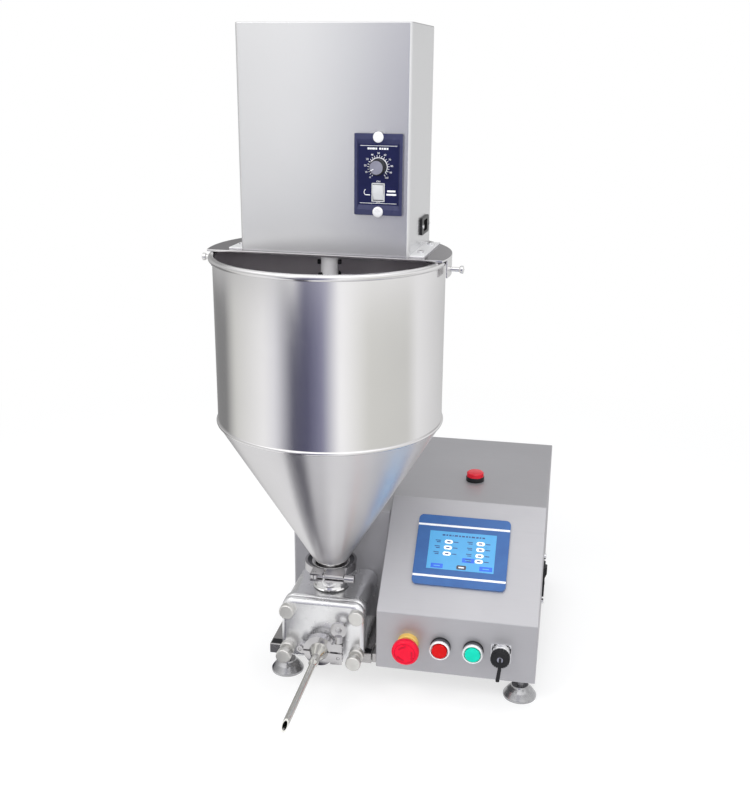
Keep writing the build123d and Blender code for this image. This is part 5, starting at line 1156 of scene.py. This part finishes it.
def pedal_socket():
    """The pedal's socket with its contacts and screws, and the dust cap with its pull tab."""
    front = at(PEDAL_X, 0, CONTROL_Z, FACING_FRONT)
    socket = prism(rounded(oblong(30, 30, 2.5)), 0, 2.5)
    barrel = [(9.3, -16), (9.3, 2.4), (12.5, 2.4), (12.5, 5, 0.5), (11.9, 5.5), (11.9, 6.5), (12.5, 7),
              (12.5, 9, 0.8), (9.5, 9), (9.5, 17, 0.4), (8.2, 17, 0.4), (8.2, 9.5), (0, 9.5), (0, -16)]
    add(socket, turned(rounded(barrel), closed=True))
    for k in range(3):
        add(socket, rod(1.1, 9.4, 15.5, 4.2 * cos(2 * pi * k / 3), 4.2 * sin(2 * pi * k / 3), 16), paint=1)
    piece("pedal_socket_metal", socket, (chrome, brass), "machine", ("pedal_socket",), front,
          edge=0.3, steps=2, sharp=50)
    spots = [(x * 12, y * 12, 2.5) for x in (-1, 1) for y in (-1, 1)]
    screws("socket_screws", spots, 2.1, 1.2, "machine", front)
    cup = [(9.6, 10), (13.2, 10), (13.2, 20, 1.0), (11.4, 21, 0.8), (6.4, 21, 0.3), (6, 20.2, 0.2), (0, 20.2),
           (0, 17.3), (9.6, 17.3)]
    cap = turned(rounded(cup), closed=True)
    ribs = grown(RING_OF_BARS, black_plastic, Count=26, Radius=0.0131, Bar=(0.0016, 0.0017, 0.0085),
                 Height=0.0152)
    add(cap, ribs)
    add(cap, turned(rounded([(0, 20.1), (4.4, 20.1), (4.4, 20.8, 0.5), (0, 20.9)], False)), paint=1)
    strap = [(-1.4, 4), (2.0, 3.4), (2.4, -16), (0.4, -35.5), (-4.6, -36), (-5.0, -33), (-2.8, -16)]
    add(cap, prism(rounded([(x, y, 1.2) for x, y in strap], True, 3), 18.4, 20.9))
    piece("knurled_dust_cap", cap, (black_plastic, knob_grey), "dust_cap", ("socket_dust_cap",),
          front)


def lamp():
    """The signal lamp's base and its ribbed lens."""
    low, high = span("lamp_base")
    base = [(0, low.z), (11, low.z), (11, 220), (14.5, 220), (14.5, 226, 0.8), (13.6, 227, 0.4), (0, 227)]
    place = at((low.x + high.x) / 2, (low.y + high.y) / 2, 0)
    piece("lamp_socket", turned(rounded(base, False)), black_plastic, "machine", ("lamp_base",),
          place)
    lens = turned(rounded([(0, 227), (13, 227), (13, 233.4, 1.4), (11.4, 234.6, 1), (0, 235)], False))
    ribs = grown(RING_OF_BARS, lamp_red, Count=40, Radius=0.013, Bar=(0.0008, 0.0009, 0.0058), Height=0.2301)
    add(lens, ribs)
    piece("ribbed_lens", lens, lamp_red, "machine", ("lamp_lens",), place)


def socket_pins(into, x, y, depth):
    """Three contact blades of a power inlet."""
    for dx, dy in ((-6.5, -1.5), (6.5, -1.5), (0, 2.2)):
        add(into, prism(rect(2, 4.4), depth, -3), Matrix.Translation(((x + dx) * MM, (y + dy) * MM, 0)), 1)


BOX_HALF, BOX_FRONT, BOX_BACK = 117, -30, 122
BOX_BASE, BOX_TOP = 611.8, 903.8
MIXER_INLET = (BOX_HALF, 71, 639.8)
INLET_WELL = 19.5


def power_inlets():
    """The mains inlet with its rocker and screws, and the inlet on the motor box."""
    low, high = span("mains_inlet")
    place = at(CABINET_WIDTH, (low.y + high.y) / 2, (low.z + high.z) / 2, FACING_RIGHT)
    flange = prism(rounded(oblong(30, 50, 2)), 0, 3)
    add(flange, prism(rect(*MAINS_CASE), -26, 0.5))
    holes = add(bmesh.new(), prism(rounded(oblong(24, 16, 2.5, 0, -12.5)), -INLET_WELL, 5))
    add(holes, prism(rect(*ROCKER_HOLE, 0, 12.7), -8, 5))
    piece("mains_inlet_case", flange, black_plastic, "machine", ("mains_inlet",), place,
          edge=0.5, steps=2, holes=add(bmesh.new(), holes, place))
    pins = bmesh.new()
    socket_pins(pins, 0, -12.5, -INLET_WELL)
    piece("mains_pins", pins, brass, "machine", (), place, edge=0.3, steps=2)
    dressed("mains_rocker", black_plastic, "mains_switch", 0.6)
    screws("inlet_screws", [(0, -39.5, 0), (0, 39.5, 0)], 4.5, 2.6, "machine", place, ("panel_screws",))
    place = on_lid(*MIXER_INLET, FACING_RIGHT)
    flange = prism(rounded(oblong(50, 24, 4)), 0, 3)
    add(flange, prism(rect(*MIXER_CASE), -28, 0.5))
    holes = add(bmesh.new(), prism(rounded(oblong(24, 16, 2.5)), -INLET_WELL, 5), place)
    piece("mixer_inlet_case", flange, black_plastic, "lid", ("mixer_inlet",), place,
          edge=0.5, steps=2, holes=holes)
    pins = bmesh.new()
    socket_pins(pins, 0, 0, -INLET_WELL)
    piece("mixer_pins", pins, brass, "lid", (), place, edge=0.3, steps=2)
    screws("mixer_inlet_screws", [(-21, 0, 3), (21, 0, 3)], 2.8, 1.4, "lid", place)


PUMP_X, OUTLET_Z = -80, 32
ROTOR_Z, ROTOR_PLACES = 60, (-22, 22)


def pump_view(width, base, top, corner, heel):
    """Front view of the pump about its middle."""
    half = width / 2
    view = [(-half, base, heel), (half, base, heel), (half, top, corner), (-half, top, corner)]
    return rounded(view, steps=8)


def pump():
    """The pump's block and front cover, its round nuts and the necks clamped between pump and hopper."""
    low, high = span("pump_body")
    back = span("bearing_housing")[1]
    width, top = high.x - low.x, high.z
    lip_depth, step = 16, 2.2
    block = prism(pump_view(width, low.z, top, 18, 9), -low.y - lip_depth, -low.y)
    round_edges(block, 6, lambda x, y, z: True, 6)
    rear = prism(pump_view(width - 2 * step, low.z, top - step, 18, 9), -back.y, -low.y - lip_depth + 4)
    add(block, round_edges(rear, 1.2, lambda x, y, z: z < -back.y + 1))
    place = at(PUMP_X, 0, 0, FACING_FRONT)
    chamber = add(bmesh.new(), prism(rounded(oblong(94, 51, 25.4, 0, ROTOR_Z)), -76, 10), place)
    for x in ROTOR_PLACES:
        add(chamber, rod(15, -130, -70, x, ROTOR_Z), place)
    piece("pump_block", block, pump_steel, "machine", ("pump_body", "bearing_housing"), place,
          holes=chamber)
    low, high = span("pump_cover")
    plate = prism(pump_view(width, low.z, high.z, 18, 18), -high.y, high.y)
    round_edges(plate, 7.5, lambda x, y, z: z > 0, 7)
    round_edges(plate, 2, lambda x, y, z: z < 0, 3)
    neck = [(0, 4), (19, 5.4), (15.5, 6.6, 2), (12.5, 10, 3), (12.5, 17), (14.5, 18), (17, 18.2, 0.3),
            (17, 20.6, 0.4), (0, 21)]
    add(plate, turned(rounded(neck, False)), Matrix.Translation((0, OUTLET_Z * MM, 0)))
    holes = add(bmesh.new(), rod(8, -20, 30), at(PUMP_X, 0, OUTLET_Z, FACING_FRONT))
    for x in ROTOR_PLACES:
        add(holes, rod(10.4, -20, 0.4, x), at(PUMP_X, 0, ROTOR_Z, FACING_FRONT))
    piece("pump_front_cover", plate, pump_steel, "machine", ("pump_cover",), place, holes=holes)
    low, high = span("cover_nuts")
    nuts = bmesh.new()
    wide, waist, inset = 11.2, 5.2, 9.5
    short = [(4.1, 6), (wide, 6, 0.4), (wide, 14.6, 1.2), (wide - 1.6, 16, 0.8), (0, 16), (0, 14.4),
             (4.1, 14.4)]
    long = [(4.1, 6), (wide, 6, 0.4), (wide, 14, 1.2), (wide - 1.6, 15.4, 0.8), (waist, 15.4, 0.6),
            (waist, 27.2, 0.6), (wide, 27.2, 0.8), (wide, 35.6, 1.2), (wide - 1.6, 37, 0.8), (0, 37),
            (0, 35.4), (4.1, 35.4)]
    for x in (low.x + inset, high.x - inset):
        for z, outline in ((high.z - inset, short), (low.z + inset, long)):
            add(nuts, turned(rounded(outline), 48, True), at(x, 0, z, FACING_FRONT))
    piece("round_cap_nuts", nuts, nut_steel, "machine", ("cover_nuts",))
    rings = bmesh.new()
    inlet = [(17, 101), (27, 101), (25.4, 102.4, 1), (24, 105.4, 3), (24, 128, 1), (25.4, 132.2, 0.3),
             (29, 132.6, 0.4), (29, 135.5, 0.4), (17, 135.5)]
    outlet = [(18.5, 137.5), (29, 137.5, 0.4), (29, 140.5, 0.4), (21, 141.2, 0.8), (20, 143, 1), (20, 150),
              (18.5, 150)]
    for outline in (inlet, outlet):
        add(rings, turned(rounded(outline), closed=True), at(*HOPPER_AXIS, 0))
    piece("clamped_necks", rings, clamp_steel, "machine", ("clamp_ferrules",))


RIB_START, RIB_END, RIB_PITCH, NEEDLE_TIP = 69.0, 219.5, 2.2, 221


def nozzle():
    """The needle nozzle: a clamped foot, a finely ribbed tube and a tip cut at a slant."""
    outline = [(3.2, 23), (17, 23, 0.4), (17, 25.6, 0.4), (14.6, 27, 0.8), (7, 46, 2), (7, 62, 0.8),
               (4.5, 67, 1)]
    ribs = []
    along = RIB_START
    while along < RIB_END:
        ribs += [(4.3, along), (4.6, along + 0.9), (4.6, along + 1.5)]
        along += RIB_PITCH
    needle = turned(rounded(outline, False) + ribs + [(4.5, NEEDLE_TIP), (3.2, NEEDLE_TIP)], 40, True)
    place = at(PUMP_X, 0, OUTLET_Z, FACING_FRONT)
    shear = prism(rect(40, 80), 0, 30)
    slant = Matrix.Rotation(radians(-64), 4, "X")
    shear.transform(Matrix.Translation((0, -4 * MM, NEEDLE_TIP * MM)) @ slant)
    piece("needle_nozzle", needle, needle_steel, "machine", ("filling_nozzle",), place,
          holes=add(bmesh.new(), shear, place), sharp=50)


HOPPER_RADIUS, WALL = 160, 1.5
SEAM_Z, RIM_Z = 371, 602


def hopper():
    """The hopper's wall, cone and rolled rim in one turned shell."""
    outside = [(25.8, 145), (27.2, 147.2)] + arc(159.375, SEAM_Z, 3, -75, 75, 10)
    rim = arc(161.125, RIM_Z, 4.5, -104.5, 234.3, 28)
    wall = [(HOPPER_RADIUS, SEAM_Z + 30), (HOPPER_RADIUS, RIM_Z - 30)]
    inside = [(HOPPER_RADIUS - WALL, SEAM_Z + 1), (25.6, 147.6), (24.2, 145)]
    body = turned(outside + wall + rim + inside, 144, True)
    # Faces that look inwards below the rim get the inside steel, painted shade; faces below the seam get the
    # cone's steel
    for face in body.faces:
        spot = face.calc_center_median() / MM
        if face.normal.x * spot.x + face.normal.y * spot.y < 0 and spot.z < RIM_Z - 4:
            face.material_index = 2
        elif spot.z < SEAM_Z - 3:
            face.material_index = 1
    piece("hopper_bowl", body, (hopper_steel, cone_steel, inside_steel_painted_shade), "machine", ("hopper", "hopper_cone"),
          at(*HOPPER_AXIS, 0))


LID_RADIUS, LID_BASE, LID_TOP = 168.4, 606.8, 609.8
# Degrees from the lid's sideways axis to its straight front edge, and to each side of a tab
LID_START, TAB_SPREAD = -13.04, 6.13
TAB_INSIDE = 166.2
THUMB_Z = 592.3


def thumb_screw_way(side):
    """The axis of a thumb screw, outwards through the lid's left or right tab."""
    return on_lid(0, 0, THUMB_Z, Matrix.Rotation(side * pi / 2, 4, "Y"))


def lid():
    """The half lid with its two tabs, and the thumb screws in them."""
    plate = prism(arc(0, 0, LID_RADIUS, LID_START, 180 - LID_START, 96), LID_BASE, LID_TOP)
    for middle in (0, 180):
        first, last = middle - TAB_SPREAD, middle + TAB_SPREAD
        tab = arc(0, 0, LID_RADIUS, first, last, 8) + arc(0, 0, TAB_INSIDE, last, first, 8)
        add(plate, prism(tab, LID_BASE - 24, LID_BASE + 0.5))
    holes = add(bmesh.new(), rod(10, LID_BASE - 5, LID_TOP + 5), on_lid(0, 0, 0))
    for side in (-1, 1):
        add(holes, rod(3.3, 150, 180), thumb_screw_way(side))
    # Faces that look up or down get the dark lid steel, painted shade; the edges keep the bright hopper steel
    for face in plate.faces:
        face.material_index = 0 if abs(face.normal.z) > 0.5 else 1
    piece("half_lid_plate", plate, (lid_steel_painted_shade, hopper_steel), "lid", ("half_lid",),
          on_lid(0, 0, 0), edge=0.5, steps=2, holes=holes)
    for side, node, body in ((-1, "thumb_screw_left", "left_thumb"), (1, "thumb_screw_right", "right_thumb")):
        outline = [(0, 165.9), (2.6, 165.9, 0.4), (3, 166.6), (3, 180.6), (2.4, 181.2), (4.4, 181.4, 0.6),
                   (5, 183, 0.8), (5, 186, 1.2), (0, 187.4)]
        screw = turned(rounded(outline, False), 32)
        ribs = grown(RING_OF_BARS, clamp_steel, Count=18, Radius=0.0049, Bar=(0.0006, 0.0007, 0.0028),
                     Height=0.1845)
        add(screw, ribs)
        piece(node + "_turned", screw, clamp_steel, body, (node,), thumb_screw_way(side))


BRACKET_X, BRACKET_MIDDLE, BRACKET_SPREAD = 127, 36.5, 35
CONTROLLER_X, CONTROLLER_Z = 76, 716.8
KNOB_RISE, SWITCH_RISE = 10, -22.5


def motor_box():
    """The motor box with its back screws, and its two brackets with theirs."""
    plan = [(-BOX_HALF, BOX_FRONT, 4), (BOX_HALF, BOX_FRONT, 4), (BOX_HALF, BOX_BACK, 4),
            (-BOX_HALF, BOX_BACK, 4)]
    shell = opened(prism(rounded(plan), LID_TOP + 0.1, BOX_TOP), (0, 0, -1))
    holes = add(bmesh.new(), opening(*MIXER_CASE), on_lid(*MIXER_INLET, FACING_RIGHT))
    add(holes, opening(*CONTROLLER_CASE), on_lid(CONTROLLER_X, BOX_FRONT, CONTROLLER_Z, FACING_FRONT))
    piece("motor_box_shell", shell, box_steel, "lid", ("motor_box",), on_lid(0, 0, 0),
          edge=1.6, wall=1.5, sharp=60, holes=holes)
    spots = [(x * 104, z * 132, 0) for x in (-1, 1) for z in (-1, 0, 1)]
    back = on_lid(0, BOX_BACK, (BOX_BASE + BOX_TOP) / 2, FACING_BACK)
    screws("box_back_screws", spots, 3, 1.8, "lid", back)
    dressed("box_brackets", bracket_steel, "lid")
    spots = [(side * BRACKET_X, BRACKET_MIDDLE + end * BRACKET_SPREAD, BOX_BASE)
             for side in (-1, 1) for end in (-1, 1)]
    screws("bracket_screw_heads", spots, 4.5, 2.6, "lid", on_lid(0, 0, 0), ("bracket_screws",))


def stirrer_drive():
    """The stirrer's coupling sleeve with its set screws, and the stirrer."""
    sleeve = turned(rounded([(8.05, 552.8), (12, 552.8, 1), (12, 602.8, 1), (8.05, 602.8)]), 48, True)
    set_screw = rounded([(0, 9), (3.4, 9), (3.4, 16.4, 0.5), (1.6, 16.6), (1.6, 14.4), (0, 14.4)], False)
    outwards = Matrix.Rotation(pi / 2, 4, "Y")
    for z, turn in ((594, 192), (577, 222), (594, 12), (577, 42)):
        way = Matrix.Rotation(radians(turn), 4, "Z") @ Matrix.Translation((0, 0, z * MM)) @ outwards
        add(sleeve, turned(set_screw, 24), way, 1)
    piece("coupling_sleeve", sleeve, (coupling_steel_painted_light, black_plastic), "mixer", ("stirrer_coupling",),
          on_lid(0, 0, 0))
    dressed("stirrer", shaft_steel, "mixer")


def lettering(words, height, rise=0.15):
    """Small generic characters as a flat solid about their middle."""
    curve = bpy.data.curves.new("characters", "FONT")
    curve.body = words
    curve.size = height * MM
    curve.align_x = curve.align_y = "CENTER"
    curve.extrude = rise * MM
    curve.resolution_u = 2
    obj = bpy.data.objects.new("characters", curve)
    scene.collection.objects.link(obj)
    mesh = bpy.data.meshes.new_from_object(obj.evaluated_get(bpy.context.evaluated_depsgraph_get()))
    bpy.data.objects.remove(obj)
    bm = bmesh.new()
    bm.from_mesh(mesh)
    bpy.data.meshes.remove(mesh)
    bmesh.ops.remove_doubles(bm, verts=bm.verts, dist=1e-7)
    bmesh.ops.recalc_face_normals(bm, faces=bm.faces)
    return bm


def frustum(low_size, high_size, low, high):
    """A block whose upper end is larger than its lower end."""
    bm = bmesh.new()
    rings = []
    for (w, h), z in ((low_size, low), (high_size, high)):
        rings.append([bm.verts.new((x * MM, y * MM, z * MM)) for x, y in rect(w, h)])
    bm.faces.new(reversed(rings[0]))
    bm.faces.new(rings[1])
    for k in range(4):
        bm.faces.new((rings[0][k], rings[0][(k + 1) % 4], rings[1][(k + 1) % 4], rings[1][k]))
    return bm


def controller():
    """The speed controller with its printed face and screws, its knob and its rocker switch."""
    place = on_lid(CONTROLLER_X, BOX_FRONT, CONTROLLER_Z, FACING_FRONT)
    face = 4.0
    case = prism(rounded(oblong(64, 104, 1.5)), 0, 6)
    add(case, prism(rect(*CONTROLLER_CASE), -50, 0.5))
    well = add(bmesh.new(), frustum((54, 78), (57, 92), face, 6.4), place)
    add(well, prism(rect(*ROCKER_HOLE, 0, SWITCH_RISE), -6, 6), place)
    add(well, rod(3.3, -30, 8, 0, KNOB_RISE), place)
    piece("controller_case", case, (rim_navy_painted_highlight,), "lid", ("speed_controller",), place,
          edge=0.6, steps=2, holes=well)
    panel = prism(rect(53.6, 77.6), face - 0.2, face + 0.12)
    holes = add(bmesh.new(), prism(rect(14.8, 21.6, 0, SWITCH_RISE), -6, 8), place)
    add(holes, rod(3.4, -6, 8, 0, KNOB_RISE), place)
    piece("controller_film", panel, controller_navy, "lid", (), place, holes=holes)
    marks = bmesh.new()
    # The two long white bars along the top and bottom of the face are painted highlights of the case's bevel;
    # the rest of these marks is print
    for y in (-36.6, 36.6):
        add(marks, prism(rect(49, 0.5, 0, y), face, face + 0.25))
    ticks = grown(RING_OF_BARS, print_white, Count=22, Radius=0.0136, Start=radians(-52), Sweep=radians(300),
                  Bar=(0.0022, 0.0006, 0.0003), Height=(face + 0.2) * MM)
    add(marks, ticks, Matrix.Translation((0, KNOB_RISE * MM, 0)))

    def bar(width, height, x, y):
        add(marks, prism(rect(width, height, x, y), face, face + 0.3))

    def curved_bar(x, y, outer, inner, first, last, steps):
        outline = arc(x, y, outer, first, last, steps) + arc(x, y, inner, last, first, steps)
        add(marks, prism(outline, face, face + 0.3))

    def words(text, height, x, y):
        add(marks, lettering(text, height), Matrix.Translation((x * MM, y * MM, (face + 0.2) * MM)))

    curved_bar(0, KNOB_RISE, 12.1, 11.2, -40, 150, 24)
    for k in range(11):
        turn = radians(232 - 28.4 * k)
        words(str(k * 10), 3.3, 17.8 * cos(turn), KNOB_RISE + 17.2 * sin(turn))
    words("ON", 3.4, 0, -8.8)
    words("OFF", 3.4, 0, -35)
    u = -15
    for width in (3.6, 2.6, 4.2, 3.0, 0, 3.4, 2.4, 4.0, 3.0):
        if width:
            bar(width - 0.8, 2.4, u + width / 2, 33)
        u += width or 2.0
    bar(11, 2.2, 17.4, -20.6)
    bar(13, 2.2, 17.4, -25)
    curved_bar(-15, -22.6, 4.4, 3.6, 120, 240, 10)
    bar(6, 1, -14, -26)
    piece("controller_print", marks, print_white, "lid", (), place)
    frame_ring = prism(rounded(oblong(17.4, 24, 1, 0, SWITCH_RISE)), face, face + 1.6)
    hole = add(bmesh.new(), prism(rect(14.7, 21.5, 0, SWITCH_RISE), 0, 9), place)
    piece("rocker_frame", frame_ring, rocker_grey, "lid", (), place, edge=0.4, steps=2,
          holes=hole)
    screws("controller_screws", [(0, 47.5, 4.6), (0, -47.5, 4.6)], 6.8, 2.6, "lid", place, paint=screw_silver)
    knob_place = on_lid(CONTROLLER_X, BOX_FRONT, CONTROLLER_Z + KNOB_RISE, FACING_FRONT)
    outline = [(0, -4), (3, -4), (3, face + 0.4), (10.5, face + 0.4, 0.5), (10.5, face + 2.4, 0.6),
               (9.9, face + 3, 0.4), (9.6, face + 13.4, 0.8), (0, face + 14)]
    grip = turned(rounded(outline, False), 64)
    ribs = grown(RING_OF_BARS, knob_black, Count=34, Radius=0.0097, Bar=(0.0009, 0.0009, 0.008),
                 Height=(face + 8.4) * MM)
    add(grip, ribs)
    cap = [(0, face + 13.8), (8.7, face + 13.8), (8.7, face + 14.1, 0.2), (0, face + 14.2)]
    add(grip, turned(rounded(cap, False), 48), paint=1)
    pointer = prism(rect(0.9, 4.4, 0, 6), face + 14, face + 14.35)
    add(grip, pointer, Matrix.Rotation(radians(118), 4, "Z"), 2)
    piece("speed_knob_grip", grip, (knob_black, knob_grey, print_white), "knob", ("speed_knob",),
          knob_place)
    dressed("mixer_rocker", rocker_grey, "mixer_switch", 0.7, 3)


# CAD solids that stay as they are and get a finish; the cabinet's floor gets a dark steel that is painted
# shade
for node, paint in {
    "cabinet_floor": underside_steel_painted_shade, "cabinet_electronics": electronics_case, "drive_rotor": shaft_steel,
    "driven_rotor": shaft_steel, "shaft_bearings": shaft_steel, "rubber_seals": seal_rubber,
    "drive_lantern": drive_aluminium, "servo_gear_motor": drive_aluminium,
    "mixer_gear_motor": drive_aluminium, "mixer_output_shaft": shaft_steel, "estop_stem": estop_grey,
    "cover_studs": clamp_steel,
}.items():
    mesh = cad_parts[node].data
    mesh.materials.clear()
    mesh.materials.append(paint)

# Clamps, whose solids are copied and finished. A dish under the cone is cut from the hopper's clamp, and its
# faces are dark chrome, painted shade.
for node, body in {
    "hopper_clamp_left": "machine", "hopper_clamp_right": "machine", "hopper_clamp_bolt": "hopper_bolt",
    "hopper_clamp_nut": "hopper_nut", "outlet_clamp_lower": "machine", "outlet_clamp_upper": "machine",
    "outlet_clamp_bolt": "outlet_bolt", "outlet_wing_nut": "wing_nut", "clamp_pins": "machine",
}.items():
    dish = None
    if node in ("hopper_clamp_left", "hopper_clamp_right"):
        dish = turned([(0, 138.6), (24.5, 138.6), (36.6, 143), (0, 143)])
        # The dish's faces get the dark chrome, painted shade
        for face in dish.faces:
            face.material_index = 1
        dish.transform(at(*HOPPER_AXIS, 0))
    # Clamp bands in the darker band steel, painted shade
    dressed(node, (band_steel_painted_shade, chrome_painted_shade), body, 0.9, 3, holes=dish)

for build in (cabinet, drive_side, feet, touch_panel, emergency_stop, push_buttons, pedal_socket, lamp,
              power_inlets, pump, nozzle, hopper, lid, motor_box, stirrer_drive, controller):
    build()

scene.view_settings.view_transform = "Standard"
